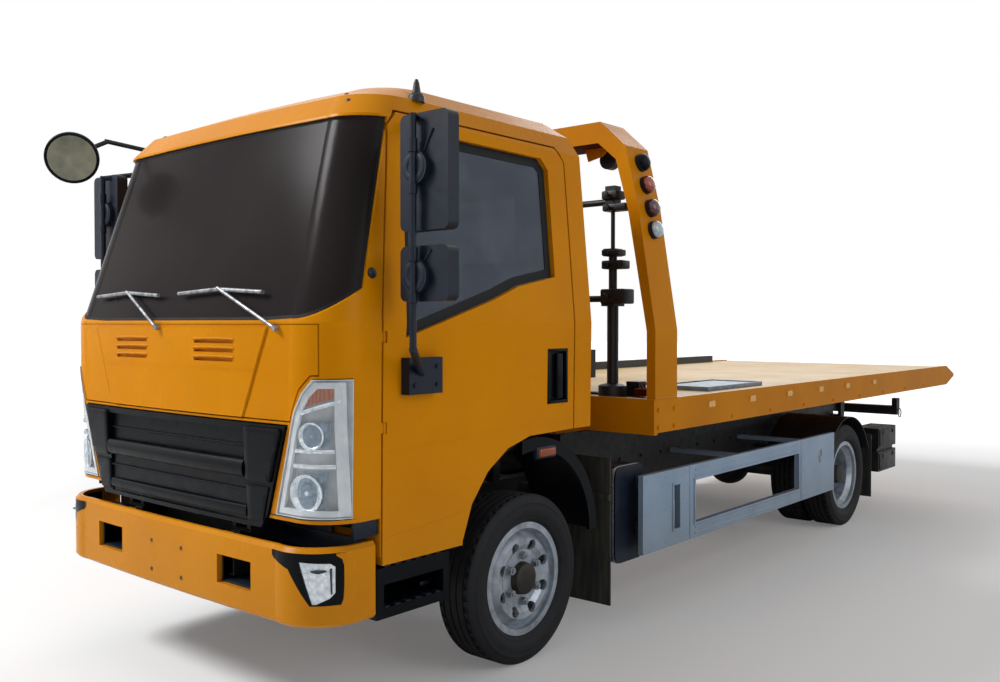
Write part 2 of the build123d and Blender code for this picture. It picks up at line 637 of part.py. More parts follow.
# Front wheels: the disc is dished outwards, almost level with the outer flange
for side, name in ((1, "left"), (-1, "right")):
    y = side * FRONT_TYRE_Y
    with BuildPart() as tyre:
        tyre_shape(FRONT_AXLE, y)
    tyre.part.label = f"tyre_front_{name}"
    export_step(tyre.part, f"parts/tyre_front_{name}.step")
    with BuildPart() as rim:
        turned(rim_section(side), FRONT_AXLE, y, TYRE_RADIUS)
        turned([(0, side * 66), (126, side * 66), (150, side * 82), (178, side * 84),
                (205, side * 48), (RIM_RADIUS - 20, side * 34), (RIM_RADIUS - 24, side * 24),
                (200, side * 36), (172, side * 70), (128, side * 52), (0, side * 52)],
               FRONT_AXLE, y, TYRE_RADIUS)
        turned([(0, -side * 30), (150, -side * 30), (150, side * 20), (80, side * 54),
                (0, side * 54)], FRONT_AXLE, y, TYRE_RADIUS)
        turned([(0, side * 60), (72, side * 60), (66, side * 96), (44, side * 104),
                (0, side * 104)], FRONT_AXLE, y, TYRE_RADIUS)
        wheel_holes(FRONT_AXLE, y + side * 62, 40)
        wheel_nuts(FRONT_AXLE, y + side * 60, y + side * 92)
        turned([(0, -side * 31), (SPINDLE_RADIUS + RUNNING_FIT, -side * 31),
                (SPINDLE_RADIUS + RUNNING_FIT, side * 56), (0, side * 56)],
               FRONT_AXLE, y, TYRE_RADIUS, mode=Mode.SUBTRACT)
    rim.part.label = f"rim_front_{name}"
    export_step(rim.part, f"parts/rim_front_{name}.step")

# Rear wheels: two on each hub, disc to disc, so that the outer one is deeply dished
for side, name in ((1, "left"), (-1, "right")):
    outer_y = side * REAR_OUTER_Y
    inner_y = side * (REAR_OUTER_Y - DUAL_SPACING)
    middle = (outer_y + inner_y) / 2
    with BuildPart() as tyres:
        for y in (outer_y, inner_y):
            tyre_shape(REAR_AXLE, y)
    tyres.part.label = f"tyres_rear_{name}"
    export_step(tyres.part, f"parts/tyres_rear_{name}.step")
    with BuildPart() as rims:
        turned(rim_section(-side), REAR_AXLE, outer_y, TYRE_RADIUS)
        turned(rim_section(side), REAR_AXLE, inner_y, TYRE_RADIUS)
        turned([(0, side * 12), (150, side * 12), (186, side * 46), (RIM_RADIUS - 6, side * 58),
                (RIM_RADIUS - 24, side * 44), (192, side * 30), (168, 0),
                (192, -side * 30), (RIM_RADIUS - 24, -side * 44), (RIM_RADIUS - 6, -side * 58),
                (186, -side * 46), (150, -side * 12), (0, -side * 12)],
               REAR_AXLE, middle, TYRE_RADIUS)
        turned([(0, side * 8), (84, side * 8), (76, side * 112), (66, side * 148),
                (58, side * 166), (0, side * 170)], REAR_AXLE, middle, TYRE_RADIUS)
        wheel_holes(REAR_AXLE, middle, 60)
        wheel_nuts(REAR_AXLE, middle, middle + side * 40)
        turned([(0, -side * 13), (SPINDLE_RADIUS + RUNNING_FIT, -side * 13),
                (SPINDLE_RADIUS + RUNNING_FIT, side * 154), (0, side * 154)],
               REAR_AXLE, middle, TYRE_RADIUS, mode=Mode.SUBTRACT)
    rims.part.label = f"rims_rear_{name}"
    export_step(rims.part, f"parts/rims_rear_{name}.step")

# Fuel tank on the right rail, battery and air box on the left
with BuildPart() as fuel_tank:
    box((320, 1080), (-940, -430), (330, 700))
    fillet(fuel_tank.edges().filter_by(Axis.X), 60)
    for x in (450, 950):
        box((x - 30, x + 30), (-440, -RAIL_OUTER - SEAT_GAP), (560, 660))
fuel_tank.part.label = "fuel_tank"
export_step(fuel_tank.part, "parts/fuel_tank.step")

with BuildPart() as battery_box:
    box((1455, 1715), (500, 960), (305, 790))
    fillet(battery_box.edges().filter_by(Axis.Y), 50)
    box((1540, 1640), (RAIL_OUTER + SEAT_GAP, 510), (560, 660))
battery_box.part.label = "battery_box"
export_step(battery_box.part, "parts/battery_box.step")

# Cab steps below the doors
with BuildPart() as cab_steps:
    for side in (1, -1):
        box((2905, 3297), (side * 700, side * 952), (402, 594))
        box((2925, 3277), (side * 720, side * 912), (432, 620), mode=Mode.SUBTRACT)
        box((2940, 3260), (side * 780, side * 1000), (440, 530), mode=Mode.SUBTRACT)
        box((3060, 3140), (side * (RAIL_OUTER + SEAT_GAP), side * 701), (545, 590))
cab_steps.part.label = "cab_steps"
export_step(cab_steps.part, "parts/cab_steps.step")

# Mudflaps behind the front and the rear wheels
with BuildPart() as mudflaps:
    for x, low, top, hold in ((1780, 120, 850, 640), (-1870, 150, 640, 600)):
        for side in (1, -1):
            box((x - 5, x + 5), (side * 590, side * 975), (low, top))
            box((x - 15, x + 15), (side * (RAIL_OUTER + SEAT_GAP), side * 975), (hold, hold + 30))
mudflaps.part.label = "mudflaps"
export_step(mudflaps.part, "parts/mudflaps.step")

# Rear mudguards over the twin wheels
with BuildPart() as rear_mudguards:
    for side in (1, -1):
        turned([(432, 0), (438, 0), (438, side * 475), (432, side * 475)], REAR_AXLE, side * 502,
               TYRE_RADIUS)
        box((REAR_AXLE - 500, REAR_AXLE + 500), (side * 450, side * 1000), (-100, 540),
            mode=Mode.SUBTRACT)
        for x in (REAR_AXLE - 380, REAR_AXLE + 380):
            rod((x, side * (RAIL_OUTER + SEAT_GAP), 590), (x, side * 520, 590), 15)
rear_mudguards.part.label = "rear_mudguards"
export_step(rear_mudguards.part, "parts/rear_mudguards.step")

# Side guards: pressed panels with one long window and a short one
with BuildPart() as side_guards:
    for side in (1, -1):
        box((-910, 1600), (side * 1022, side * 1050), (345, 745))
        box((-300, 1070), (side * 1000, side * 1100), (430, 660), mode=Mode.SUBTRACT)
        box((1240, 1300), (side * 1000, side * 1100), (430, 660), mode=Mode.SUBTRACT)
        for x in (1390, 200, -760):
            box((x - 25, x + 25), (side * (RAIL_OUTER + SEAT_GAP), side * 1023), (668, 695))
side_guards.part.label = "side_guards"
export_step(side_guards.part, "parts/side_guards.step")

# Tail boxes under the rear corners, with the tail lamps on their rear ends
with BuildPart() as tail_boxes:
    for side in (1, -1):
        for low, high in ((312, 470), (500, 660)):
            box((-2520, -2110), (side * 745, side * 950), (low, high))
        box((-2500, -2130), (side * 765, side * 930), (460, 510))
        box((-2380, -2260), (side * (RAIL_OUTER + SEAT_GAP), side * 750), (580, 650))
tail_boxes.part.label = "tail_boxes"
export_step(tail_boxes.part, "parts/tail_boxes.step")

with BuildPart() as tail_lamps:
    for side in (1, -1):
        box((-2540, -2520.3), (side * 760, side * 935), (520, 640))
        box((-2540, -2520.3), (side * 760, side * 935), (340, 440))
tail_lamps.part.label = "tail_lamps"
export_step(tail_lamps.part, "parts/tail_lamps.step")

# Subframe on the rails, with the tilting frame's hinge and the wheel lift's hanger
with BuildPart() as subframe:
    for side in (1, -1):
        box((RAIL_REAR, 1480), (side * RAIL_INNER, side * RAIL_OUTER), (RAIL_TOP + SEAT_GAP, SUB_TOP))
        box((TILT_X - 40, TILT_X + 40), (side * 345, side * 492), (RAIL_TOP + SEAT_GAP, 716))
        for inner, outer in ((370, 395), (466, 492)):
            box((TILT_X - 40, TILT_X + 40), (side * inner, side * outer), (705, TILT_Z + 34))
        rod((TILT_X, side * 375, TILT_Z), (TILT_X, side * 487, TILT_Z), TILT_PIN)
        box((LIFT_X - 50, LIFT_X + 50), (side * 92, side * 118), (LIFT_Z - 45, SUB_TOP - 10))
    for x in (1420, 600, -600, -1700, -2450):
        box((x - 40, x + 40), (-RAIL_INNER, RAIL_INNER), (RAIL_TOP + 5, SUB_TOP - 5))
    rod((LIFT_X, -110, LIFT_Z), (LIFT_X, 110, LIFT_Z), LIFT_PIN)
subframe.part.label = "subframe"
export_step(subframe.part, "parts/subframe.step")

# Tilting frame: two beams that the platform slides on
with BuildPart() as tilt_frame:
    for side in (1, -1):
        box((-2615, 1500), (side * RUNNER_IN, side * RUNNER_OUT), (TILT_LOW, TILT_TOP))
        for x in (1400, 0, -1400, -2540):
            box((x - 60, x + 60), (side * RUNNER_IN, side * RUNNER_OUT),
                (TILT_TOP - 5, RUNNER_LOW - SEAT_GAP))
        box((1340, 1440), (side * 350, side * RUNNER_OUT), (SUB_TOP + SEAT_GAP, 800))
        rod((TILT_X, side * 400, TILT_Z), (TILT_X, side * 460, TILT_Z), TILT_PIN + RUNNING_FIT,
            mode=Mode.SUBTRACT)
    for x in (1460, 200, -900, -1900):
        box((x - 40, x + 40), (-RUNNER_IN - 5, RUNNER_IN + 5), (790, 880))
tilt_frame.part.label = "tilt_frame"
export_step(tilt_frame.part, "parts/tilt_frame.step")

# Platform: side channels, cross joists, two runners, a front beam and a tapered tail
with BuildPart() as deck:
    for side in (1, -1):
        side_prism([(DECK_FRONT, DECK_LOW), (DECK_FRONT, DECK_TOP), (DECK_REAR, DECK_TOP),
                    (TAIL_TIP, 1050), (TAIL_TIP, 1028), (DECK_REAR, DECK_LOW)],
                   min(side * 1092, side * DECK_SIDE), max(side * 1092, side * DECK_SIDE))
        box((DECK_REAR, DECK_FRONT), (side * 1052, side * 1094), (DECK_LOW, DECK_LOW + 8))
        box((DECK_REAR, DECK_FRONT), (side * 1052, side * 1094), (FLOOR_TOP - 1, DECK_TOP))
        box((-2700, 1540), (side * RUNNER_IN, side * RUNNER_OUT), (RUNNER_LOW, FLOOR_TOP - 5))
    box((DECK_REAR, DECK_FRONT), (-1093, 1093), (FLOOR_TOP - FLOOR_PLATE, FLOOR_TOP))
    side_prism([(DECK_REAR, FLOOR_TOP), (TAIL_TIP, 1050), (TAIL_TIP, 1034),
                (DECK_REAR, FLOOR_TOP - FLOOR_PLATE)], -1093, 1093)
    box((1545, DECK_FRONT), (-DECK_SIDE, DECK_SIDE), (950, 1130))
    for number in range(10):
        x = 1300 - number * 500
        box((x - 25, x + 25), (-1093, 1093), (1010, FLOOR_TOP - 5))
    box((-3400, -3350), (-1093, 1093), (1000, FLOOR_TOP - 5))
deck.part.label = "deck"
export_step(deck.part, "parts/deck.step")

with BuildPart() as deck_lamps:
    for x in (990, 490, -30, -530, -1010, -1550):
        for side in (1, -1):
            box((x - 34, x + 34), (side * (DECK_SIDE + SEAT_GAP), side * (DECK_SIDE + 9)),
                (1054, 1088))
deck_lamps.part.label = "deck_lamps"
export_step(deck_lamps.part, "parts/deck_lamps.step")

# Lamp arch over the front of the platform: upright legs that lean in above a knee
ARCH_OUT = [(1100, 1130.3), (1100, 1477), (997, 2106), (919, 2417), (766, 2556)]
ARCH_IN = [(752, 2447), (862, 2352), (937, 2090), (1050, 1470), (1050, 1130.3)]

with BuildPart() as lamp_arch:
    front_prism(ARCH_OUT + [(-y, z) for y, z in reversed(ARCH_OUT)]
                + [(-y, z) for y, z in reversed(ARCH_IN)] + ARCH_IN, ARCH_BACK, ARCH_FRONT)
    for side in (1, -1):
        front_prism([(side * 590, 2450), (side * 760, 2450), (side * 700, 2400),
                     (side * 610, 2380)], ARCH_BACK + 90, ARCH_BACK + 102)
lamp_arch.part.label = "lamp_arch"
export_step(lamp_arch.part, "parts/lamp_arch.step")

with BuildPart() as arch_lamps:
    for side in (1, -1):
        for y, z, lean in ((1017, 1985, 0.1637), (998.7, 2097, 0.1637), (969.4, 2217, 0.251),
                           (940, 2334, 0.251)):
            scale_by = 1 / math.hypot(1, lean)
            start = (1462, side * (y + 0.4), z + lean * 0.4)
            end = (1462, side * (y + 24 * scale_by), z + 24 * lean * scale_by)
            rod(start, end, 46)
        rod((1388, side * 690, 2392), (1338, side * 690, 2392), 52)
        rod((1362, side * 690, 2440), (1362, side * 690, 2446.7), 14)
        rod((1362, side * 690, 2400), (1362, side * 690, 2441), 10)
arch_lamps.part.label = "arch_lamps"
export_step(arch_lamps.part, "parts/arch_lamps.step")

# Stowage rack: two stepped posts between the arch legs, joined by cross bars
with BuildPart() as stowage_rack:
    for side in (1, -1):
        y = side * 780
        rod((1470, y, FLOOR_TOP + SEAT_GAP), (1470, y, 1182), 75)
        rod((1470, y, 1180), (1470, y, 1620), 30)
        box((1420, 1520), (y - 40, y + 40), (1600, 1680))
        rod((1470, y, 1670), (1470, y, 1900), 22)
        box((1430, 1510), (y - 34, y + 34), (1800, 1836))
        box((1430, 1510), (y - 34, y + 34), (1862, 1902))
        rod((1470, y, 1890), (1470, y, 2110), 11)
        box((1440, 1500), (y - 30, y + 30), (2100, 2230))
    rod((1470, -770, 1640), (1470, 770, 1640), 17)
    rod((1470, -770, 2150), (1470, 770, 2150), 17)
stowage_rack.part.label = "stowage_rack"
export_step(stowage_rack.part, "parts/stowage_rack.step")

# Winch: two cheeks on a base plate with a motor beside them
with BuildPart() as winch_frame:
    box((1120, 1400), (-330, 330), (FLOOR_TOP + SEAT_GAP, 1140))
    for side in (1, -1):
        side_prism([(1140, 1139), (1380, 1139), (1340, 1390), (1180, 1390)],
                   side * 262 - 12, side * 262 + 12)
        rod((1260, side * 245, 1280), (1260, side * 274, 1280), 24, mode=Mode.SUBTRACT)
    box((1180, 1340), (276, 470), (1200, 1360))
    box((1200, 1320), (270, 330), (1139, 1360))
    box((1300, 1370), (800, 880), (FLOOR_TOP + SEAT_GAP, 1200))
    box((1300, 1370), (320, 805), (FLOOR_TOP + SEAT_GAP, 1132))
winch_frame.part.label = "winch_frame"
export_step(winch_frame.part, "parts/winch_frame.step")

# Winch drum with its wire rope wound on as one coil
with BuildPart() as winch_drum:
    rod((1260, -268, 1280), (1260, 268, 1280), 24 - RUNNING_FIT)
    rod((1260, -236, 1280), (1260, 236, 1280), 88)
    for y in (-240, 224):
        rod((1260, y, 1280), (1260, y + 16, 1280), 118)
winch_drum.part.label = "winch_drum"
export_step(winch_drum.part, "parts/winch_drum.step")

# Loose gear fixed on the platform: a flat plate and a long bar
with BuildPart() as deck_gear:
    box((60, 760), (610, 960), (FLOOR_TOP + SEAT_GAP, 1138))
    box((-3000, -700), (-1046, -996), (FLOOR_TOP + SEAT_GAP, 1182))
deck_gear.part.label = "deck_gear"
export_step(deck_gear.part, "parts/deck_gear.step")

# Wheel lift: an outer box boom on the hanger, and an inner boom with a cross bar
with BuildPart() as lift_boom:
    box((-3110, LIFT_X + 50), (-84, 84), (540, 655))
    box((-3120, LIFT_X - 40), (-72, 72), (552, 643), mode=Mode.SUBTRACT)
    rod((LIFT_X, -90, LIFT_Z), (LIFT_X, 90, LIFT_Z), LIFT_PIN + RUNNING_FIT, mode=Mode.SUBTRACT)
lift_boom.part.label = "lift_boom"
export_step(lift_boom.part, "parts/lift_boom.step")

with BuildPart() as lift_fork:
    box((-3150, -2500), (-66, 66), (558, 637))
    box((-2590, -2500), (-71.7, 71.7), (552.3, 642.7))
    box((-3240, -3140), (-80, 80), (545, 765))
    box((-3250, -3170), (-750, 750), (682, 762))
    for side in (1, -1):
        box((-3250, -3170), (side * 705, side * 750), (682, 832))
        rod((-3210, side * 660, 650), (-3210, side * 660, 800), 20, mode=Mode.SUBTRACT)
lift_fork.part.label = "lift_fork"
export_step(lift_fork.part, "parts/lift_fork.step")
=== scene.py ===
"""Flatbed tow truck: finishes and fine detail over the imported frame. Metres, +X ahead, +Y left."""
import math

import bmesh
import bpy
from mathutils import Matrix, Vector
from mathutils.bvhtree import BVHTree


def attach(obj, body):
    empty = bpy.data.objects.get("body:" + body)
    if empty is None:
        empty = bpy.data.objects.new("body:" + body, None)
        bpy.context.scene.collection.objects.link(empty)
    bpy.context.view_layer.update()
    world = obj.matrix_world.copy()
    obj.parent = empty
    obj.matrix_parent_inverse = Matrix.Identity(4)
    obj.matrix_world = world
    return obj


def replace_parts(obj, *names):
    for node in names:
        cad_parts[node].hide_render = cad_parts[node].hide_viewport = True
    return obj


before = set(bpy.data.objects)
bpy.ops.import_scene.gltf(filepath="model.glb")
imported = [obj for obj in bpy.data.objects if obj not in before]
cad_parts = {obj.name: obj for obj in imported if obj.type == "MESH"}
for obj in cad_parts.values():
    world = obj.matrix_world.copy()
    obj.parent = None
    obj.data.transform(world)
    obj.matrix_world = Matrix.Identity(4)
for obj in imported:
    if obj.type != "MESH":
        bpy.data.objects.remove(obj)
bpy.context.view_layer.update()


# Chassis frame, sub-frame, axles and the steel carried under the platform.
# Pressed and welded steel in black chassis enamel, sprayed over mill scale in one coat,
# so it is half glossy, slightly orange-peeled and holds pale road dust low down.

def linear(hex_text):
    """Turn an sRGB hex colour into the linear values that a shader socket takes."""
    channels = [int(hex_text[i:i + 2], 16) / 255 for i in (0, 2, 4)]
    return [c / 12.92 if c <= 0.04045 else ((c + 0.055) / 1.055) ** 2.4 for c in channels] + [1.0]


def plug(material, made, inputs):
    """Set a node's inputs to numbers or hex colours, or link them to sockets or nodes."""
    for name, value in inputs.items():
        if isinstance(value, bpy.types.Node):
            value = value.outputs[0]
        if isinstance(value, bpy.types.NodeSocket):
            material.node_tree.links.new(value, made.inputs[name])
        else:
            made.inputs[name].default_value = linear(value) if isinstance(value, str) else value


def node(material, kind, settings=None, inputs=None):
    """Add a shader node with its settings and links; stops are a ramp's places and colours."""
    made = material.node_tree.nodes.new(kind)
    for name, value in (settings or {}).items():
        if name == "stops":
            ramp = made.color_ramp.elements
            for end, (place, colour) in zip((ramp[0], ramp[1]), (value[0], value[-1])):
                end.position = place
                end.color = linear(colour)
            for place, colour in value[1:-1]:
                ramp.new(place).color = linear(colour)
        else:
            setattr(made, name, value)
    plug(material, made, inputs or {})
    return made


def new_material(name, inputs=None):
    """A material with its shader, and the socket of the piece's own coordinates in metres."""
    material = bpy.data.materials.new(name)
    material.use_nodes = True
    material.node_tree.nodes.clear()
    shader = node(material, "ShaderNodeBsdfPrincipled", inputs=inputs)
    node(material, "ShaderNodeOutputMaterial", inputs={"Surface": shader})
    return material, shader, node(material, "ShaderNodeTexCoord").outputs["Object"]


def textured(name, look, colours, rough, patterns, relief=None, dust=None):
    """A material whose colour, roughness and relief follow one to three patterns in turn.

    Each pattern is a texture's kind, inputs and settings, and Stretch scales its coordinates.
    Where there are two, the colour and the roughness follow the first, the relief the second.
    Rough is two roughnesses and the pattern's values there; relief is a depth and a strength.
    Dust is the height where it starts, where it is thickest, how thick, and its colour.
    """
    material, shader, place = new_material(name, look)
    made = []
    for kind, inputs, *settings in patterns:
        inputs = {"Vector": place, **inputs}
        if "Stretch" in inputs:
            inputs["Vector"] = node(material, "ShaderNodeMapping",
                                    inputs={"Vector": place, "Scale": inputs.pop("Stretch")})
        texture = node(material, "ShaderNodeTex" + kind, *settings, inputs=inputs)
        made.append(texture.outputs.get("Fac") or texture.outputs[0])
    if colours:
        colour = node(material, "ShaderNodeValToRGB", {"stops": colours}, {"Fac": made[0]})
        if dust:
            top, foot, most, shade = dust
            height = node(material, "ShaderNodeSeparateXYZ", inputs={"Vector": place}).outputs["Z"]
            fall = node(material, "ShaderNodeMapRange",
                        inputs={"Value": height, "From Min": top, "From Max": foot, "To Max": most})
            colour = node(material, "ShaderNodeMix", {"data_type": "RGBA"},
                          {0: fall, 6: colour, 7: shade}).outputs[2]
        plug(material, shader, {"Base Color": colour})
    ends = dict(zip(("To Min", "To Max", "From Min", "From Max"), rough))
    gloss = node(material, "ShaderNodeMapRange", inputs={"Value": made[len(made) // 3], **ends})
    plug(material, shader, {"Roughness": gloss})
    if relief:
        bumps = node(material, "ShaderNodeBump",
                     inputs={"Height": made[-1], "Distance": relief[0], "Strength": relief[1]})
        plug(material, shader, {"Normal": bumps})
    return material


def finish(material, *names):
    """Give CAD pieces their finish."""
    for name in names:
        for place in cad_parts[name].material_slots:
            place.material = material


# Semi-gloss black enamel: shallow orange peel of about 2 mm, drawn at 6 mm to show
enamel = textured("chassis_enamel", {"IOR": 1.5, "Specular IOR Level": 0.35},
                  ((0.3, "0A0C10"), (0.7, "14171B")), (0.38, 0.58, 0.3, 0.7),
                  (("Noise", {"Scale": 4.0, "Detail": 3.0}), ("Noise", {"Scale": 20.0}),
                   ("Noise", {"Scale": 160.0})), (0.0004, 0.5), (0.75, 0.2, 0.22, "4C4A46"))
finish(enamel, "chassis_frame", "subframe", "front_axle", "rear_axle", "tilt_frame",
       "rear_mudguards", "lift_boom", "lift_fork", "winch_frame", "stowage_rack", "tail_boxes")


def bar(shape, start, end, radius, sides=16, end_radius=None):
    """Add a round bar from one point to another, tapered where an end radius is given."""
    start, end = Vector(start), Vector(end)
    along = end - start
    corners = bmesh.ops.create_cone(shape, cap_ends=True, segments=sides, radius1=radius,
                                    radius2=radius if end_radius is None else end_radius,
                                    depth=along.length)["verts"]
    turn = along.to_track_quat("Z", "Y").to_matrix().to_4x4()
    bmesh.ops.transform(shape, matrix=Matrix.Translation((start + end) / 2) @ turn,
                        verts=corners)


def both_sides(shape):
    """Copy a form to the other side of the truck."""
    copy = bmesh.ops.duplicate(shape, geom=shape.verts[:] + shape.edges[:] + shape.faces[:])["geom"]
    bmesh.ops.scale(shape, vec=(1, -1, 1), verts=[v for v in copy if isinstance(v, bmesh.types.BMVert)])


def piece(name, shape, body, material, smooth=35):
    """Close a mesh up as a named piece that rides on a body."""
    bmesh.ops.remove_doubles(shape, verts=shape.verts, dist=0.00001)
    bmesh.ops.recalc_face_normals(shape, faces=shape.faces)
    mesh = bpy.data.meshes.new(name)
    shape.to_mesh(mesh)
    shape.free()
    mesh.materials.append(material)
    mesh.shade_smooth()
    mesh.set_sharp_from_angle(angle=math.radians(smooth))
    made = bpy.data.objects.new(name, mesh)
    bpy.context.scene.collection.objects.link(made)
    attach(made, body)
    return made


RAIL_FACE = 0.400            # the outer web of each rail
BOLT_ROWS = (0.543, 0.683)
heads = bmesh.new()
for number in range(10):
    for level in BOLT_ROWS:
        x = -0.86 + 0.24 * number
        bar(heads, (x, RAIL_FACE - 0.001, level), (x, RAIL_FACE + 0.009, level), 0.011, 6)
both_sides(heads)
piece("frame_bolts", heads, "chassis", enamel)


# Fuel tank on the right-hand rail.
# Seam-welded aluminised steel in the same black enamel, with two strap bands in rubber beds.
# It hangs on brackets from the frame rail behind the front wheel.

finish(enamel, "fuel_tank")


def block(shape, low, high, edge=0.002, axis=None, radius=0.0):
    """Add a block between two corners, its edges along an axis rounded more than the rest."""
    low, high = Vector(low), Vector(high)
    before = set(shape.faces)
    corners = bmesh.ops.create_cube(shape, size=1.0)["verts"]
    bmesh.ops.scale(shape, vec=[abs(b - a) for a, b in zip(low, high)], verts=corners)
    bmesh.ops.translate(shape, vec=(low + high) / 2, verts=corners)
    if axis is not None:
        long = [e for e in {e for v in corners for e in v.link_edges}
                if abs((e.verts[0].co - e.verts[1].co).normalized()[axis]) > 0.9]
        bmesh.ops.bevel(shape, geom=long, offset=radius, offset_type="OFFSET", affect="EDGES",
                        segments=6, profile=0.5, material=-1)
    if edge:
        sharp = {e for f in shape.faces if f not in before for e in f.edges
                 if e.calc_face_angle(0) > 0.8}
        bmesh.ops.bevel(shape, geom=list(sharp), offset=edge, offset_type="OFFSET",
                        affect="EDGES", segments=2, profile=0.5, material=-1)


def turned(shape, profile, centre, axis, steps=40):
    """Add a turned form from pairs of radius and distance along an axis."""
    centre, axis = Vector(centre), Vector(axis).normalized()
    out = axis.orthogonal().normalized()
    line = [shape.verts.new(centre + out * radius + axis * along) for radius, along in profile]
    edges = [shape.edges.new(pair) for pair in zip(line, line[1:])]
    bmesh.ops.spin(shape, geom=line + edges, cent=centre, axis=axis, dvec=(0, 0, 0),
                   angle=math.tau, steps=steps, use_merge=True, use_duplicate=False)


# Bare galvanised steel: bright grey with dull spangles about 12 mm across
galvanised = textured("galvanised_steel", {"Metallic": 0.8}, ((0.0, "6F767E"), (0.8, "989FA6")),
                      (0.35, 0.6), (("Voronoi", {"Scale": 80.0}),))
TANK_LOW, TANK_HIGH = Vector((0.320, -0.940, 0.330)), Vector((1.080, -0.430, 0.700))
STRAP_WIDTH, STRAP_THICK = 0.050, 0.003
straps = bmesh.new()
for x in (0.450, 0.950):
    block(straps, (x - STRAP_WIDTH / 2, TANK_LOW.y - STRAP_THICK, TANK_LOW.z - STRAP_THICK),
          (x + STRAP_WIDTH / 2, TANK_HIGH.y + STRAP_THICK, TANK_HIGH.z + STRAP_THICK), 0.001,
          0, 0.062)
    bar(straps, (x, TANK_LOW.y - 0.002, 0.60), (x, TANK_LOW.y - 0.014, 0.60), 0.009, 6)
piece("tank_straps", straps, "chassis", galvanised)
filler = bmesh.new()
turned(filler, [(0.0001, 0.036), (0.034, 0.036), (0.038, 0.030), (0.038, 0.010), (0.030, 0.008),
                (0.030, -0.02)], (0.70, -0.80, 0.700), (0, 0, 1), 24)
piece("tank_filler", filler, "chassis", enamel)


# Battery and air box behind the left step.
# Black moulded box with a pale folded steel rim round its lid, held by two rubber latches.
# It is bolted to a bracket on the rail just ahead of the side guard.

BOX_LOW, BOX_HIGH = Vector((1.455, 0.500, 0.305)), Vector((1.715, 0.960, 0.790))
rim = bmesh.new()
block(rim, (BOX_LOW.x - 0.003, 0.936, BOX_LOW.z - 0.003),
      (BOX_HIGH.x + 0.003, 0.950, BOX_HIGH.z + 0.003), 0.002, 1, 0.053)
piece("battery_box_rim", rim, "chassis", galvanised)
latches = bmesh.new()
for level in (0.42, 0.66):
    block(latches, (BOX_LOW.x + 0.05, 0.958, level), (BOX_LOW.x + 0.075, 0.968, level + 0.07), 0.004)
    bar(latches, (BOX_LOW.x + 0.0625, 0.958, level + 0.055), (BOX_LOW.x + 0.0625, 0.974, level + 0.055),
        0.006, 10)
piece("battery_box_latches", latches, "chassis", enamel)


# Engine, gearbox and steering knuckles.
# Grey-black sand-cast iron, left rough from the mould and darkened by oil film and dust.
# The knuckles turn on kingpins through the ends of the axle beam.

# Sand-cast iron: 2 mm grain in relief, with brown-black patches of oily dust
iron = textured("cast_iron", {"Metallic": 0.5}, ((0.35, "1C1B1A"), (0.65, "38322C")), (0.45, 0.8),
                (("Noise", {"Scale": 12.0, "Detail": 5.0}), ("Noise", {"Scale": 500.0})), (0.0008, 0.7))
finish(iron, "engine_block", "knuckle_left", "knuckle_right")


# Tyres, one on each front wheel and a pair on each rear wheel.
# Black rubber moulded on steel cords: a tread of five ribs, slotted shoulders, ringed side walls.
# Each is seated on its rim's beads by air pressure.

# Carbon-black rubber: almost matt, with a fine moulded grain and dry grey dust
rubber = textured("tyre_rubber", {"Specular IOR Level": 0.25}, ((0.4, "0C0E12"), (0.78, "1C1D1F")),
                  (0.55, 0.85), (("Noise", {"Scale": 16.0, "Detail": 5.0}),
                                 ("Noise", {"Scale": 650.0})), (0.0003, 0.6))

HUB_LEVEL = 0.375
FRONT_AXLE, REAR_AXLE = 2.400, -1.400
FRONT_TYRE, REAR_OUTER, REAR_INNER = 0.848, 0.854, 0.616
TREAD_RADIUS = 0.375
TREAD_STEPS = 96
# Radius and distance from the middle, from the bead up the side wall to the tread's edge
TYRE_WALL = [(0.2335, 0.076), (0.251, 0.079), (0.256, 0.088), (0.264, 0.094), (0.266, 0.0965),
             (0.270, 0.0975), (0.272, 0.0965), (0.289, 0.1045), (0.306, 0.106), (0.322, 0.1055),
             (0.333, 0.1035), (0.335, 0.1045), (0.338, 0.1040), (0.340, 0.1015), (0.352, 0.0975),
             (0.364, 0.0920), (0.372, 0.0860), (TREAD_RADIUS, 0.0810)]
GROOVES = ((0.060, 0.051), (0.023, 0.014))          # edges of the two grooves of each half
GROOVE_DEPTH = 0.009


def tyre(name, body, node_name, axle, middles):
    """One tyre, or a pair, turned from its section and slotted at the shoulders."""
    half = list(TYRE_WALL)
    for outer, inner in GROOVES:
        half += [(TREAD_RADIUS, outer), (TREAD_RADIUS - GROOVE_DEPTH, outer - 0.002),
                 (TREAD_RADIUS - GROOVE_DEPTH, inner + 0.002), (TREAD_RADIUS, inner)]
    section = half + [(radius, -off) for radius, off in reversed(half)]
    shape = bmesh.new()
    for middle in middles:
        turned(shape, section + section[:1], (axle, middle, HUB_LEVEL), (0, 1, 0), TREAD_STEPS)
    bmesh.ops.remove_doubles(shape, verts=shape.verts, dist=0.00001)
    bmesh.ops.recalc_face_normals(shape, faces=shape.faces)
    slots = []
    for face in shape.faces:
        spot = face.calc_center_median()
        off = min(abs(abs(spot.y - middle) - 0.0705) for middle in middles)
        around = math.atan2(spot.z - HUB_LEVEL, spot.x - axle) / math.tau * TREAD_STEPS
        if off < 0.004 and math.floor(around) % 2 and face.normal.y ** 2 < 0.05:
            slots.append(face)
    bmesh.ops.inset_individual(shape, faces=slots, thickness=0.003, depth=-0.007)
    made = piece(name, shape, body, rubber, 40)
    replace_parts(made, node_name)


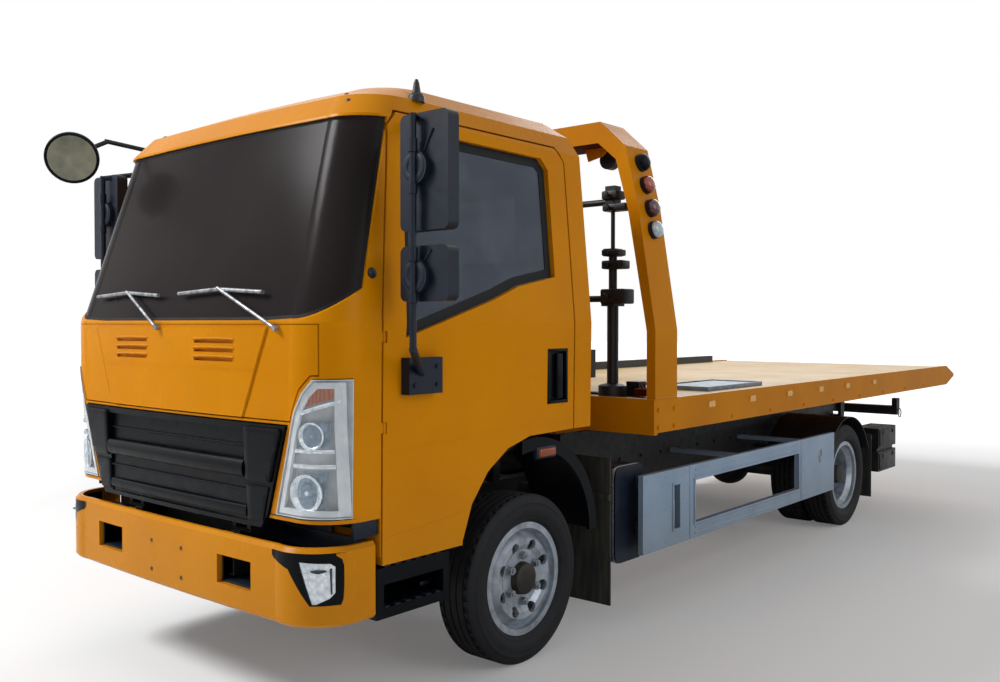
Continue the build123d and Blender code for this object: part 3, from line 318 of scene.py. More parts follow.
for side, word in ((1, "left"), (-1, "right")):
    tyre(f"front_tyre_{word}", f"wheel_front_{word}", f"tyre_front_{word}", FRONT_AXLE,
         [side * FRONT_TYRE])
    tyre(f"rear_tyres_{word}", f"wheels_rear_{word}", f"tyres_rear_{word}", REAR_AXLE,
         [side * REAR_OUTER, side * REAR_INNER])


# Wheel rims: pressed steel discs with hand holes, welded into rolled rims.
# Silver-grey wheel enamel, a little dusty, with zinc-plated nuts round dark cast hubs.
# The rear ones are bolted back to back as twins.

# Silver-grey baked enamel: soft gloss over faint press marks, greyed by brake dust
wheel_enamel = textured("wheel_enamel", {"IOR": 1.5, "Metallic": 0.35},
                        ((0.4, "A6B0BC"), (0.75, "7C8288")), (0.25, 0.5),
                        (("Noise", {"Scale": 20.0, "Detail": 4.0}), ("Noise", {"Scale": 250.0})),
                        (0.0002, 0.4))
finish(wheel_enamel, "rim_front_left", "rim_front_right", "rims_rear_left", "rims_rear_right")

NUT_CIRCLE = 0.102
REAR_DISCS = (REAR_OUTER + REAR_INNER) / 2
# Body, X and Y of the wheel's middle, how far out from it the nuts reach, and the hub's profile
HUBS = (("wheel_front", FRONT_AXLE, FRONT_TYRE, 0.094,
         [(0.0745, 0.060), (0.0735, 0.066), (0.068, 0.0965), (0.060, 0.1015), (0.047, 0.1050),
          (0.042, 0.1050), (0.038, 0.1056), (0.0001, 0.1056)]),
        ("wheels_rear", REAR_AXLE, REAR_DISCS, 0.044,
         [(0.0870, 0.012), (0.0860, 0.020), (0.0780, 0.1120), (0.0720, 0.1180), (0.0675, 0.1490),
          (0.0600, 0.1670), (0.0500, 0.1715), (0.0001, 0.1715)]))
for side, word in ((1, "left"), (-1, "right")):
    for body, axle, middle, nut_top, profile in HUBS:
        hub = bmesh.new()
        turned(hub, profile, (axle, side * middle, HUB_LEVEL), (0, side, 0), 36)
        nuts = bmesh.new()
        for number in range(6):
            angle = math.radians(60 * number + 30)
            spot = Vector((axle + NUT_CIRCLE * math.cos(angle), 0.0,
                           HUB_LEVEL + NUT_CIRCLE * math.sin(angle)))
            seat = spot + Vector((0, side * (middle + nut_top - 0.024), 0))
            top = spot + Vector((0, side * (middle + nut_top), 0))
            bar(nuts, seat, top, 0.0185, 6)
            bar(nuts, top, top + Vector((0, side * 0.008, 0)), 0.009, 12)
        piece(f"{body}_hub_{word}", hub, f"{body}_{word}", iron)
        piece(f"{body}_nuts_{word}", nuts, f"{body}_{word}", galvanised)


# Cab shell, doors, front lid and bumper.
# Pressed 0.8 mm steel, welded, dipped and sprayed in orange-yellow two-pack enamel.
# The doors hang on two hinges each, the lid under the windscreen; the bumper is bolted on.

# Two-pack gloss enamel: even colour, orange peel drawn at 6 mm, too shallow to break a reflection
cab_enamel = textured("cab_enamel", {"Specular IOR Level": 0.06}, ((0.3, "D88A03"), (0.7, "CC8002")),
                      (0.2, 0.32, 0.3, 0.7),
                      (("Noise", {"Scale": 1.7, "Detail": 3.0}), ("Noise", {"Scale": 8.0, "Detail": 4.0}),
                       ("Noise", {"Scale": 160.0})), (0.0002, 0.2), (0.95, 0.35, 0.2, "7A6A40"))
finish(cab_enamel, "cab_shell", "door_left", "door_right", "front_lid", "front_bumper")


def surface(*names):
    """The outer skin of some CAD pieces, to press a thin sheet on to."""
    points, faces = [], []
    for name in names:
        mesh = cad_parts[name].data
        mesh.calc_loop_triangles()
        start = len(points)
        points += [v.co.copy() for v in mesh.vertices]
        faces += [[start + i for i in t.vertices] for t in mesh.loop_triangles]
    return BVHTree.FromPolygons(points, faces)


def press(shape, skin, direction, lift):
    """Move a mesh's points along a direction on to a skin, lift them off it, drop the rest."""
    direction = Vector(direction).normalized()
    missed = []
    for v in shape.verts:
        hit = skin.ray_cast(v.co - direction, direction, 2.0)[0]
        if hit:
            v.co = hit - direction * lift
        else:
            missed.append(v)
    bmesh.ops.delete(shape, geom=missed, context="VERTS")


def join(shape, other):
    """Move another form's faces into a shape."""
    copy = bpy.data.meshes.new("joined")
    other.to_mesh(copy)
    other.free()
    shape.from_mesh(copy)
    bpy.data.meshes.remove(copy)


def sheet(shape, outline, skin, direction, lift, thick, cell=0.02, ring=0.0, edge=0.0):
    """Add a sheet of an outline, or a ring along it, pressed on to a skin, its wall inwards."""
    flat = bmesh.new()
    face = flat.faces.new([flat.verts.new(p) for p in outline])
    flat.normal_update()
    if ring:
        bmesh.ops.inset_region(flat, faces=[face], thickness=ring, use_even_offset=True,
                               use_boundary=True)
        bmesh.ops.delete(flat, geom=[face], context="FACES")
    direction = Vector(direction)
    for k in range(3):
        if abs(direction[k]) < 0.9:
            normal = Vector([1.0 if i == k else 0.0 for i in range(3)])
            low, high = min(p[k] for p in outline), max(p[k] for p in outline)
            for step in range(1, int((high - low) / cell) + 1):
                bmesh.ops.bisect_plane(flat, geom=flat.verts[:] + flat.edges[:] + flat.faces[:],
                                       plane_co=normal * (low + step * cell), plane_no=normal)
    press(flat, skin, direction, lift)
    bmesh.ops.recalc_face_normals(flat, faces=flat.faces)
    if sum(f.normal.dot(direction) for f in flat.faces) > 0:
        bmesh.ops.reverse_faces(flat, faces=flat.faces)
    bmesh.ops.solidify(flat, geom=flat.faces[:], thickness=thick)
    if edge:
        sharp = [e for e in flat.edges if e.calc_face_angle(0) > 0.8]
        bmesh.ops.bevel(flat, geom=sharp, offset=edge, offset_type="OFFSET", affect="EDGES",
                        segments=2, profile=0.5, material=-1)
    join(shape, flat)


def front_view(*points):
    """Points of an outline seen from the front, from pairs of Y and Z."""
    return [(3.75, y, z) for y, z in points]


BACKWARDS = (-1, 0, 0)
FRONT = surface("cab_shell", "front_lid")
SLIT_ROWS = (1.440, 1.405, 1.370)
lid_lines = bmesh.new()
sheet(lid_lines, front_view((-0.588, 1.333), (0.565, 1.333), (0.565, 1.340), (-0.588, 1.340)),
      FRONT, BACKWARDS, 0.0015, 0.004, 0.05)
for side in (1, -1):
    sheet(lid_lines, front_view((side * 0.497, 1.158), (side * 0.502, 1.158), (side * 0.645, 1.494),
                                (side * 0.640, 1.494)), FRONT, BACKWARDS, 0.0015, 0.006, 0.05)
    for level in SLIT_ROWS:
        sheet(lid_lines, front_view((side * 0.177, level + 0.003), (side * 0.447, level + 0.003),
                                    (side * 0.447, level + 0.011), (side * 0.177, level + 0.011)),
              FRONT, BACKWARDS, 0.004, 0.008, 0.05, 0.0, 0.002)
piece("lid_pressings", lid_lines, "cab", cab_enamel)

# Three screw plugs along the roof's front edge, and a larger cap on the left front pillar
ROOF = surface("cab_shell")
plugs = bmesh.new()
for x, y in ((3.250, 0.744), (3.197, 0.673), (3.197, -0.673)):
    spot, normal = ROOF.ray_cast(Vector((x, y, 3.0)), Vector((0, 0, -1)))[:2]
    turned(plugs, [(0.0001, 0.003), (0.007, 0.003), (0.010, 0.001), (0.010, -0.004)], spot, normal, 16)
spot, normal = ROOF.ray_cast(Vector((3.313, 1.3, 1.696)), Vector((0, -1, 0)))[:2]
turned(plugs, [(0.0001, 0.010), (0.012, 0.009), (0.020, 0.004), (0.022, -0.004)], spot, normal, 20)
piece("roof_plugs", plugs, "cab", enamel)

# Short aerial in a rubber foot over the left front pillar
aerial = bmesh.new()
spot, normal = ROOF.ray_cast(Vector((2.98, 0.845, 3.0)), Vector((0, 0, -1)))[:2]
turned(aerial, [(0.0001, 0.085), (0.006, 0.083), (0.011, 0.070), (0.018, 0.030), (0.030, 0.020),
                (0.034, 0.008), (0.034, -0.010)], spot, (0, 0, 1), 20)
piece("roof_aerial", aerial, "cab", enamel)


# Black moulded parts round the cab.
# ABS and polypropylene with a fine leather grain from the mould, satin and unpainted.
# They are clipped or screwed to the body.

# Grained polypropylene: 1.2 mm grain drawn at 3 mm, satin, slightly greyed by sun
black_plastic = textured("moulded_black", {"Specular IOR Level": 0.25},
                         ((0.3, "0C1420"), (0.7, "162030")), (0.33, 0.5, 0.3, 0.7),
                         (("Noise", {"Scale": 3.3}), ("Noise", {"Scale": 25.0}),
                          ("Noise", {"Scale": 330.0})), (0.0003, 0.5))
finish(black_plastic, "mirror_left", "mirror_right", "kerb_mirror", "battery_box", "dashboard",
       "steering_wheel")

# Black skirt under each headlamp, hung from the shell's lower front edge and down its corner: painted shade
# filling the dark gap between lamp and bumper
SHADE_FOOT = 0.722
lamp_gap_shade = bmesh.new()
sheet(lamp_gap_shade, front_view((0.642, 0.7815), (0.952, 0.7815), (0.952, 0.7990), (0.642, 0.7990)),
      surface("cab_shell"), BACKWARDS, 0.002, 0.004)
for v in lamp_gap_shade.verts:
    if v.co.z < 0.79:
        v.co.z = SHADE_FOOT
        v.co.x -= 0.012
block(lamp_gap_shade, (3.286, 0.934, SHADE_FOOT), (3.404, 0.950, 0.7995), 0.003)
both_sides(lamp_gap_shade)
piece("headlamp_gap_shade", lamp_gap_shade, "cab", black_plastic)

# Tread ribs on the steps, over their openings
ribs = bmesh.new()
for number in range(6):
    block(ribs, (2.945 + 0.055 * number, 0.926, 0.585), (2.975 + 0.055 * number, 0.946, 0.598), 0.003)
    block(ribs, (2.945 + 0.055 * number, 0.916, 0.430), (2.975 + 0.055 * number, 0.946, 0.443), 0.003)
block(ribs, (2.935, 0.862, 0.452), (2.990, 0.872, 0.470), 0.004)
both_sides(ribs)
piece("step_ribs", ribs, "chassis", black_plastic)


# Grille: end blocks and cross bars moulded in one piece, clipped to the cab's front.
# Black acrylic-capped ABS, glossier than the other trim, with ribs that catch the sky.
# Two rounded bars bridge the well between the end blocks.

# ABS with a smooth black cap: soft gloss with very shallow sink marks
gloss_black = textured("capped_abs", {"Specular IOR Level": 0.1}, ((0.3, "04070B"), (0.7, "080C12")),
                       (0.26, 0.4, 0.3, 0.7), (("Noise", {"Scale": 5.0}), ("Noise", {"Scale": 16.0}),
                                               ("Noise", {"Scale": 33.0})), (0.0002, 0.15))
finish(gloss_black, "grille", "cab_steps", "arch_liners", "fog_lamps")

GRILLE = surface("grille")
WELL_HALF = 0.514
# Middle height, half height and how far each moulding stands off its ground, in metres
MOULDINGS = ((0.962, 0.034, 0.018), (0.799, 0.020, 0.006), (1.048, 0.005, 0.009),
             (0.880, 0.005, 0.009))
bars = bmesh.new()
for level, half, proud in MOULDINGS:
    made = bmesh.new()
    bar(made, (0, -WELL_HALF, level), (0, WELL_HALF, level), half, 20)
    bmesh.ops.scale(made, vec=(proud / half, 1, 1), verts=made.verts)
    for station in range(1, 16):
        bmesh.ops.bisect_plane(made, geom=made.verts[:] + made.edges[:] + made.faces[:],
                               plane_co=(0, WELL_HALF * (station / 8 - 1), 0), plane_no=(0, 1, 0))
    for v in made.verts:
        ground = GRILLE.ray_cast(Vector((4.0, v.co.y * 0.995, level)), Vector(BACKWARDS))[0]
        v.co.x += ground.x
    join(bars, made)
piece("grille_bars", bars, "cab", gloss_black, 50)
cheeks = bmesh.new()
sheet(cheeks, front_view((0.522, 0.920), (0.664, 0.920), (0.734, 1.114), (0.724, 1.124),
                         (0.532, 1.124), (0.522, 1.112)), GRILLE, BACKWARDS, 0.012, 0.016, 0.03,
      0.0, 0.006)
sheet(cheeks, front_view((0.522, 0.770), (0.612, 0.770), (0.654, 0.904), (0.522, 0.904)), GRILLE,
      BACKWARDS, 0.005, 0.008, 0.03, 0.0, 0.003)
both_sides(cheeks)
piece("grille_cheeks", cheeks, "cab", gloss_black)


# Wipers: two pressed arms on spindles below the windscreen, with rubber blades.
# Satin grey coated steel that has lost its black, so it looks silvery in the sun.
# The blades are pushed on to the arms' hooks.

# Thin black coating worn to bright grey steel in 10 to 30 mm patches along the arms
worn = textured("worn_coated_steel", {"Metallic": 0.6}, ((0.40, "A0A2A6"), (0.68, "5C5E62")),
                (0.28, 0.5), (("Noise", {"Scale": 33.0, "Detail": 5.0}),))
finish(worn, "wipers")


# Windscreen: laminated glass bonded into the shell behind a black rubber lip.
# Solar-tinted float glass, so dark here that the cab can't be seen through it.
# The lip is one extruded strip pushed over the flange.

# Brown-black tinted glass: an even dark body under a soft gloss
screen_glass = textured("windscreen_glass", {"Specular IOR Level": 0.03, "Alpha": 0.97, "IOR": 1.5},
                        ((0.3, "262122"), (0.7, "2D2828")), (0.15, 0.25),
                        (("Noise", {"Scale": 2.0, "Detail": 2.0}),))
finish(screen_glass, "windscreen")


def outward(face):
    """Whether a face of a copied CAD piece is on the outside of the cab."""
    return face.normal.x > 0.3 or face.normal.y * face.calc_center_median().y > 0.52


lip = bmesh.new()
lip.from_mesh(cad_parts["windscreen"].data)
bmesh.ops.remove_doubles(lip, verts=lip.verts, dist=0.0001)
lip.normal_update()
bmesh.ops.delete(lip, geom=[f for f in lip.faces if not outward(f)], context="FACES")
inner = lip.faces[:]
bmesh.ops.inset_region(lip, faces=inner, thickness=0.012, use_even_offset=False, use_boundary=True)
bmesh.ops.delete(lip, geom=inner, context="FACES")
for v in lip.verts:
    v.co += v.normal * 0.002
bmesh.ops.solidify(lip, geom=lip.faces[:], thickness=0.004)
piece("windscreen_lip", lip, "cab", rubber)


# Headlamps: one cluster each side, wrapped round the cab's corner.
# Clear polycarbonate lens glued to a grey housing with vacuum-silvered bowls inside:
# indicator on top, dipped beam in the middle, main beam below, and chrome bars between.

# Polycarbonate lens: a thin clear sheet with a hard gloss coat, faintly hazed
lens_clear = textured("clear_polycarbonate", {"Base Color": "E4EDF2", "Alpha": 0.08, "IOR": 1.58},
                      None, (0.02, 0.1, 0.3, 0.8), (("Noise", {"Scale": 25.0, "Detail": 4.0}),))

# Vacuum-silvered plastic: bright aluminium film over moulded facets 18 mm across
silver = textured("vacuum_silvering", {"Metallic": 1.0}, ((0.0, "F0F4F7"), (0.9, "BCC8D2")),
                  (0.12, 0.3), (("Voronoi", {"Scale": 55.0}),), (0.004, 0.35))

# Pale grey moulded housing behind the lens: satin, faintly mottled
pale_housing = textured("pale_polypropylene", {"Specular IOR Level": 0.4},
                        ((0.3, "DCE1E4"), (0.7, "C3CBD2")), (0.25, 0.4), (("Noise", {"Scale": 20.0}),))

# Tinted silvering inside the cells: blue-grey film over facets 14 mm across
cell_blue = textured("tinted_silvering", {"Metallic": 0.7}, ((0.0, "8FA5B8"), (0.9, "4F6274")),
                     (0.15, 0.3), (("Voronoi", {"Scale": 70.0}),), (0.004, 0.4))

# Amber-dyed acrylic over a silvered back, with moulded flutes 12 mm apart
amber = textured("amber_acrylic", {"IOR": 1.49}, ((0.0, "C8600A"), (1.0, "8A3E0E")), (0.12, 0.25),
                 (("Wave", {"Scale": 26.0}, {"bands_direction": "Y"}),), (0.002, 0.5))

LAMPS = surface("headlamps")
LENS_WALL = 0.003
REFLECTORS = ((0.828, 0.893, 0.064), (0.858, 1.102, 0.045))     # Y, Z and radius of each bowl
lens = bmesh.new()
lens.from_mesh(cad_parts["headlamps"].data)
bmesh.ops.remove_doubles(lens, verts=lens.verts, dist=0.0001)
lens.normal_update()
case = lens.copy()
bmesh.ops.delete(lens, geom=[f for f in lens.faces if not outward(f)], context="FACES")
bmesh.ops.solidify(lens, geom=lens.faces[:], thickness=LENS_WALL)
bmesh.ops.delete(case, geom=[f for f in case.faces if outward(f)], context="FACES")
bmesh.ops.solidify(case, geom=case.faces[:], thickness=LENS_WALL)
dishes = bmesh.new()
for y, z, radius in REFLECTORS:
    spot, normal = LAMPS.ray_cast(Vector((4.0, y, z)), Vector(BACKWARDS))[:2]
    turned(dishes, [(radius + 0.007, -0.020), (radius + 0.006, -0.014), (radius, -0.015),
                    (radius * 0.85, -0.022), (radius * 0.55, -0.028), (0.014, -0.030),
                    (0.013, -0.021), (0.0001, -0.018)], spot, normal, 32)
for low, high in ((0.986, 1.002), (1.042, 1.056)):
    sheet(dishes, front_view((0.775, low), (0.925, low), (0.925, high), (0.775, high)), LAMPS,
          BACKWARDS, -0.008, 0.008, 0.03, 0.0, 0.002)
sheet(dishes, front_view((0.806, 1.172), (0.940, 1.220), (0.940, 1.236), (0.811, 1.190)), LAMPS,
      BACKWARDS, -0.006, 0.006, 0.03, 0.0, 0.002)
both_sides(dishes)
backs = bmesh.new()
for outline in (((0.795, 1.062), (0.905, 1.062), (0.915, 1.158), (0.815, 1.152)),
                ((0.752, 0.828), (0.888, 0.828), (0.900, 0.972), (0.786, 0.965))):
    sheet(backs, front_view(*outline), LAMPS, BACKWARDS, -0.020, 0.003, 0.03)
both_sides(backs)
surrounds = bmesh.new()
sheet(surrounds, front_view((0.688, 0.812), (0.950, 0.812), (0.950, 1.298), (0.874, 1.298),
                            (0.836, 1.256), (0.800, 1.188)), LAMPS, BACKWARDS, -0.005, 0.012, 0.02,
      0.022)
both_sides(surrounds)
blinkers = bmesh.new()
sheet(blinkers, front_view((0.832, 1.206), (0.922, 1.240), (0.922, 1.278), (0.880, 1.278),
                           (0.852, 1.250)), LAMPS, BACKWARDS, -0.012, 0.006, 0.02)
both_sides(blinkers)
for name, shape, material in (("headlamp_lenses", lens, lens_clear),
                              ("headlamp_cases", case, pale_housing),
                              ("headlamp_bowls", dishes, silver),
                              ("headlamp_cells", backs, cell_blue),
                              ("headlamp_surrounds", surrounds, pale_housing),
                              ("headlamp_indicators", blinkers, amber)):
    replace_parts(piece(name, shape, "cab", material), "headlamps")


# Fog lamps: wedge-shaped clear lenses in black bezels, set in the bumper's corners.
# A silvered bowl lies behind each lens; the bezel clips into a pocket pressed in the steel.
# Black cups behind the two tow openings beside the plate's place are painted shade, dark where the openings'
# hollows are in shadow.

FOG_BEZEL = surface("fog_lamps")
FOG_GLASS = ((0.846, 0.657), (0.927, 0.651), (0.936, 0.640), (0.936, 0.545), (0.926, 0.526),
             (0.897, 0.507), (0.886, 0.507))
reflectors, glasses = bmesh.new(), bmesh.new()
sheet(reflectors, front_view(*FOG_GLASS), FOG_BEZEL, BACKWARDS, 0.0010, 0.002, 0.015)
sheet(glasses, front_view(*FOG_GLASS), FOG_BEZEL, BACKWARDS, 0.005, 0.003, 0.015)
spot, normal = FOG_BEZEL.ray_cast(Vector((4.0, 0.900, 0.590)), Vector(BACKWARDS))[:2]
turned(reflectors, [(0.034, -0.004), (0.033, 0.002), (0.029, 0.0025), (0.020, -0.001), (0.0001, -0.002)],
       spot, normal, 28)
both_sides(reflectors)
both_sides(glasses)
piece("fog_reflectors", reflectors, "chassis", silver)
piece("fog_lenses", glasses, "chassis", lens_clear)
fog_cheeks = bmesh.new()
sheet(fog_cheeks, [(x, 1.2, z) for x, z in ((3.396, 0.496), (3.462, 0.496), (3.452, 0.520),
                                           (3.449, 0.560), (3.449, 0.640), (3.456, 0.664),
                                           (3.476, 0.678), (3.476, 0.692), (3.396, 0.692))],
      surface("fog_lamps", "front_bumper"), (0, -1, 0), 0.0025, 0.004, 0.02, 0.0, 0.001)
both_sides(fog_cheeks)
piece("fog_cheeks", fog_cheeks, "chassis", cab_enamel)
bumper_shade = bmesh.new()
block(bumper_shade, (3.440, 0.365, 0.508), (3.452, 0.575, 0.618))
for y in (0.365, 0.567):
    block(bumper_shade, (3.452, y, 0.508), (3.572, y + 0.008, 0.618))
for z in (0.508, 0.610):
    block(bumper_shade, (3.452, 0.373, z), (3.572, 0.567, z + 0.008))
both_sides(bumper_shade)
# Black plates behind the bumper and a black tray inside it: painted shade filling the dark gaps between
# bumper and cab
block(bumper_shade, (3.296, -0.700, 0.480), (3.302, 0.700, 0.735), 0.001)
block(bumper_shade, (3.303, -0.915, 0.480), (3.309, 0.915, 0.700), 0.001)
block(bumper_shade, (3.330, -0.920, 0.6220), (3.548, 0.920, 0.6280), 0.001)
piece("bumper_painted_shade", bumper_shade, "chassis", black_plastic)
# Open rivet nuts round the four holes of the plate's place
BUMPER = surface("front_bumper")
nuts = bmesh.new()
for y, z in ((-0.1135, 0.600), (0.1135, 0.600), (-0.1135, 0.480), (0.1135, 0.480)):
    spot = BUMPER.ray_cast(Vector((4.0, y + 0.008, z)), Vector(BACKWARDS))[0]
    turned(nuts, [(0.0044, 0.0015), (0.0088, 0.0012), (0.0095, -0.003), (0.0044, -0.003),
                  (0.0044, 0.0015)], (spot.x, y, z), (1, 0, 0), 20)
piece("plate_rivet_nuts", nuts, "chassis", enamel)


# Door windows' surrounds, handles, creases and side lamps.
# Black extruded rubber channel round the glass; grained black handle bezels clipped in the skin.
# The pull handle is a moulded bar across a hollow pressed in the door.

# Side glass: float glass that lets some light through; its blue-grey colour, lighter in broad patches, is a
# painted reflection of the surroundings
side_glass = textured("side_glass", {"Specular IOR Level": 0.5, "Alpha": 0.74},
                      ((0.4, "22344A"), (0.8, "465464")), (0.02, 0.1),
                      (("Noise", {"Scale": 6.0, "Detail": 5.0}),))
finish(side_glass, "door_glass_left", "door_glass_right", "rear_window")

WINDOW_EDGE = [(3.155, 1.455), (3.112, 2.270), (2.240, 2.262), (2.195, 2.215), (2.195, 1.722),
               (2.460, 1.672), (2.625, 1.612)]
WINDOW_MIDDLE = (2.68, 1.94)
CHANNEL_WIDTH = 0.038
CHANNEL_INSET = 0.004        # the channel's outer edge, inside the door's opening
HANDLE_LOW, HANDLE_HIGH = (2.120, 1.145), (2.270, 1.395)
for side, word in ((1, "left"), (-1, "right")):
    skin = surface(f"door_{word}", f"door_glass_{word}")
    inwards = (0, -side, 0)
    rim = []
    for x, z in WINDOW_EDGE:
        out = Vector((x - WINDOW_MIDDLE[0], z - WINDOW_MIDDLE[1])).normalized() * CHANNEL_INSET
        rim.append((x - out.x, 1.2 * side, z - out.y))
    channel = bmesh.new()
    sheet(channel, rim, skin, inwards, 0.003, 0.004, 0.04, CHANNEL_WIDTH)
    piece(f"window_channel_{word}", channel, f"door_{word}", rubber)
    creases = bmesh.new()
    for low, high in (((2.085, 1.060), (3.255, 1.022)), ((2.760, 0.742), (3.255, 0.700))):
        line = [low, high, (high[0], high[1] + 0.006), (low[0], low[1] + 0.006)]
        sheet(creases, [(x, 1.2 * side, z) for x, z in line], skin, inwards, 0.001, 0.002, 0.06)
    piece(f"door_creases_{word}", creases, f"door_{word}", cab_enamel)
    x0, z0 = HANDLE_LOW
    x1, z1 = HANDLE_HIGH
    handle = bmesh.new()
    block(handle, (x0 + 0.004, 0.926 * side, z0 + 0.004), (x1 - 0.004, 0.947 * side, z1 - 0.004), 0.002)
    for low, high in (((x0, z0), (x1, z0 + 0.014)), ((x0, z1 - 0.014), (x1, z1)),
                      ((x0, z0), (x0 + 0.014, z1)), ((x1 - 0.014, z0), (x1, z1))):
        block(handle, (low[0], 0.930 * side, low[1]), (high[0], 0.9665 * side, high[1]), 0.003)
    block(handle, (x0 + 0.040, 0.944 * side, z0 + 0.022), (x0 + 0.082, 0.970 * side, z1 - 0.022),
          0.004, 2, 0.010)
    piece(f"door_handle_{word}", handle, f"door_{word}", gloss_black)

side_lamps = bmesh.new()
block(side_lamps, (2.200, 0.930, 0.908), (2.318, 0.960, 0.944), 0.006)
both_sides(side_lamps)
piece("side_lamps", side_lamps, "cab", amber)
lamp_beds = bmesh.new()
block(lamp_beds, (2.186, 0.925, 0.898), (2.332, 0.951, 0.954), 0.008)
both_sides(lamp_beds)
piece("side_lamp_beds", lamp_beds, "cab", black_plastic)


# Mirrors: two heads on each door's tube and one round kerb mirror on a bent arm.
# Black moulded shells with silvered convex glass, clamped to powder-coated steel tube.
# The heads' glass faces back, and the kerb mirror's faces down along the cab's side.

# Silvered glass: a flat bright mirror with a faint olive cast and dusty film
mirror_glass = textured("silvered_glass", {"Metallic": 1.0}, ((0.3, "6E6F63"), (0.75, "8E8B78")),
                        (0.03, 0.2), (("Noise", {"Scale": 14.0, "Detail": 4.0}),))

TUBE = (3.280, 1.130)        # X and Y of the mirror tube
for side, word in ((1, "left"), (-1, "right")):
    glass = bmesh.new()
    for low, high in ((1.868, 2.246), (1.610, 1.770)):
        block(glass, (3.1935, 1.052 * side, low), (3.1975, 1.262 * side, high), 0.0015, 0, 0.022)
    piece(f"mirror_glass_{word}", glass, f"door_{word}", mirror_glass)
    clamps = bmesh.new()
    for pivot in (2.070, 1.680):
        turned(clamps, [(0.030, 0.001), (0.034, 0.003), (0.050, 0.003), (0.054, 0.001),
                        (0.054, -0.004), (0.030, -0.004), (0.030, 0.001)],
               (3.276, TUBE[1] * side, pivot), (1, 0, 0), 32)
        turned(clamps, [(0.0132, -0.026), (0.0175, -0.024), (0.0175, 0.024), (0.0132, 0.026)],
               (TUBE[0], TUBE[1] * side, pivot + 0.078), (0, 0, 1), 20)
        turned(clamps, [(0.0132, -0.020), (0.0165, -0.018), (0.0165, 0.018), (0.0132, 0.020)],
               (TUBE[0], TUBE[1] * side, pivot - 0.078), (0, 0, 1), 20)
    bar(clamps, (3.2535, 1.160 * side, 2.128), (3.2535, 1.205 * side, 2.205), 0.005, 10)
    bar(clamps, (3.2535, 1.160 * side, 1.735), (3.2535, 1.195 * side, 1.775), 0.005, 10)
    for level in (1.275, 1.345):
        bar(clamps, (3.03, 1.006 * side, level), (3.03, 1.014 * side, level), 0.009, 6)
        bar(clamps, (3.15, 1.006 * side, level), (3.15, 1.014 * side, level), 0.009, 6)
    piece(f"mirror_clamps_{word}", clamps, f"door_{word}", black_plastic, 40)

KERB_MIDDLE, KERB_WAY = (3.541, -0.915, 2.296), (0.48, 0.80, -0.36)
disc = bmesh.new()
turned(disc, [(0.0001, 0.0065), (0.040, 0.0058), (0.080, 0.0037), (0.109, 0.0010), (0.110, -0.004)],
       KERB_MIDDLE, KERB_WAY, 48)
piece("kerb_mirror_glass", disc, "cab", mirror_glass)
bead = bmesh.new()
turned(bead, [(0.107, -0.002), (0.109, 0.004), (0.114, 0.006), (0.119, 0.004), (0.1215, -0.002)],
       KERB_MIDDLE, KERB_WAY, 48)
piece("kerb_mirror_bead", bead, "cab", gloss_black)


# Seats: the driver's on the left and a bench for two on the right.
# Moulded foam under stretched woven cloth, with sewn channels that divide the panels.
# The cushions sit on the cab floor's engine cover, and the backs stand against the rear wall.

# Woven seat cloth: 1.5 mm threads drawn at 5 mm, charcoal with a lighter fleck and soft sheen
seat_cloth, shader, place = new_material("woven_seat_cloth", {"Specular IOR Level": 0.15,
                                                              "Sheen Weight": 0.3})
warp = node(seat_cloth, "ShaderNodeTexWave", {"bands_direction": "Y"},
            {"Vector": place, "Scale": 62.0, "Distortion": 0.6}).outputs["Fac"]
weft = node(seat_cloth, "ShaderNodeTexWave", {"bands_direction": "X"},
            {"Vector": place, "Scale": 62.0, "Distortion": 0.6}).outputs["Fac"]
threads = node(seat_cloth, "ShaderNodeMath", {"operation": "MULTIPLY"}, {0: warp, 1: weft})
yarn = node(seat_cloth, "ShaderNodeValToRGB", {"stops": ((0.1, "24272C"), (0.9, "4A4F57"))},
            {"Fac": threads})
bumps = node(seat_cloth, "ShaderNodeBump", inputs={"Height": threads, "Distance": 0.001, "Strength": 0.5})
dull = node(seat_cloth, "ShaderNodeMapRange", inputs={"Value": threads, "To Min": 0.75, "To Max": 0.9})
plug(seat_cloth, shader, {"Base Color": yarn, "Roughness": dull, "Normal": bumps})

SWELL = 0.024                # how far pressure may push a point of the foam
CLOTH_CELL = 0.008
CHANNEL_DEPTH, CHANNEL_HALF = 0.009, 0.010
# Name, low and high corner, the axis of the sewn channels' places, and those places
CUSHIONS = (("driver_cushion", (2.030, 0.250, 1.0803), (2.570, 0.720, 1.262), 1, (0.355, 0.615)),
            ("driver_back", (1.996, 0.250, 1.2623), (2.110, 0.720, 1.840), 2, (1.470, 1.660)),
            ("bench_cushion", (2.030, -0.720, 1.0803), (2.570, 0.130, 1.262), 1,
             (-0.600, -0.295, 0.010)),
            ("bench_back", (1.996, -0.720, 1.2623), (2.110, 0.130, 1.840), 2, (1.470, 1.660)))
stuffed = []
CLEARANCE = Vector((0.008, 0.008, 0.008))        # room that the foam is left to swell into
CLOTH_FRAMES = 20
for name, low, high, along, lines in CUSHIONS:
    foam = bmesh.new()
    block(foam, Vector(low) + CLEARANCE, Vector(high) - CLEARANCE, 0.018)
    mesh = bpy.data.meshes.new(name)
    foam.to_mesh(mesh)
    foam.free()
    cushion = bpy.data.objects.new(name, mesh)
    bpy.context.scene.collection.objects.link(cushion)
    remesh = cushion.modifiers.new("cells", "REMESH")
    remesh.mode = "VOXEL"
    remesh.voxel_size = CLOTH_CELL
    cells = bpy.data.meshes.new_from_object(
        cushion.evaluated_get(bpy.context.evaluated_depsgraph_get()))
    cushion.modifiers.clear()
    cushion.data = cells
    stuffed.append((cushion, low, high, along, lines, [v.co.copy() for v in cells.vertices]))
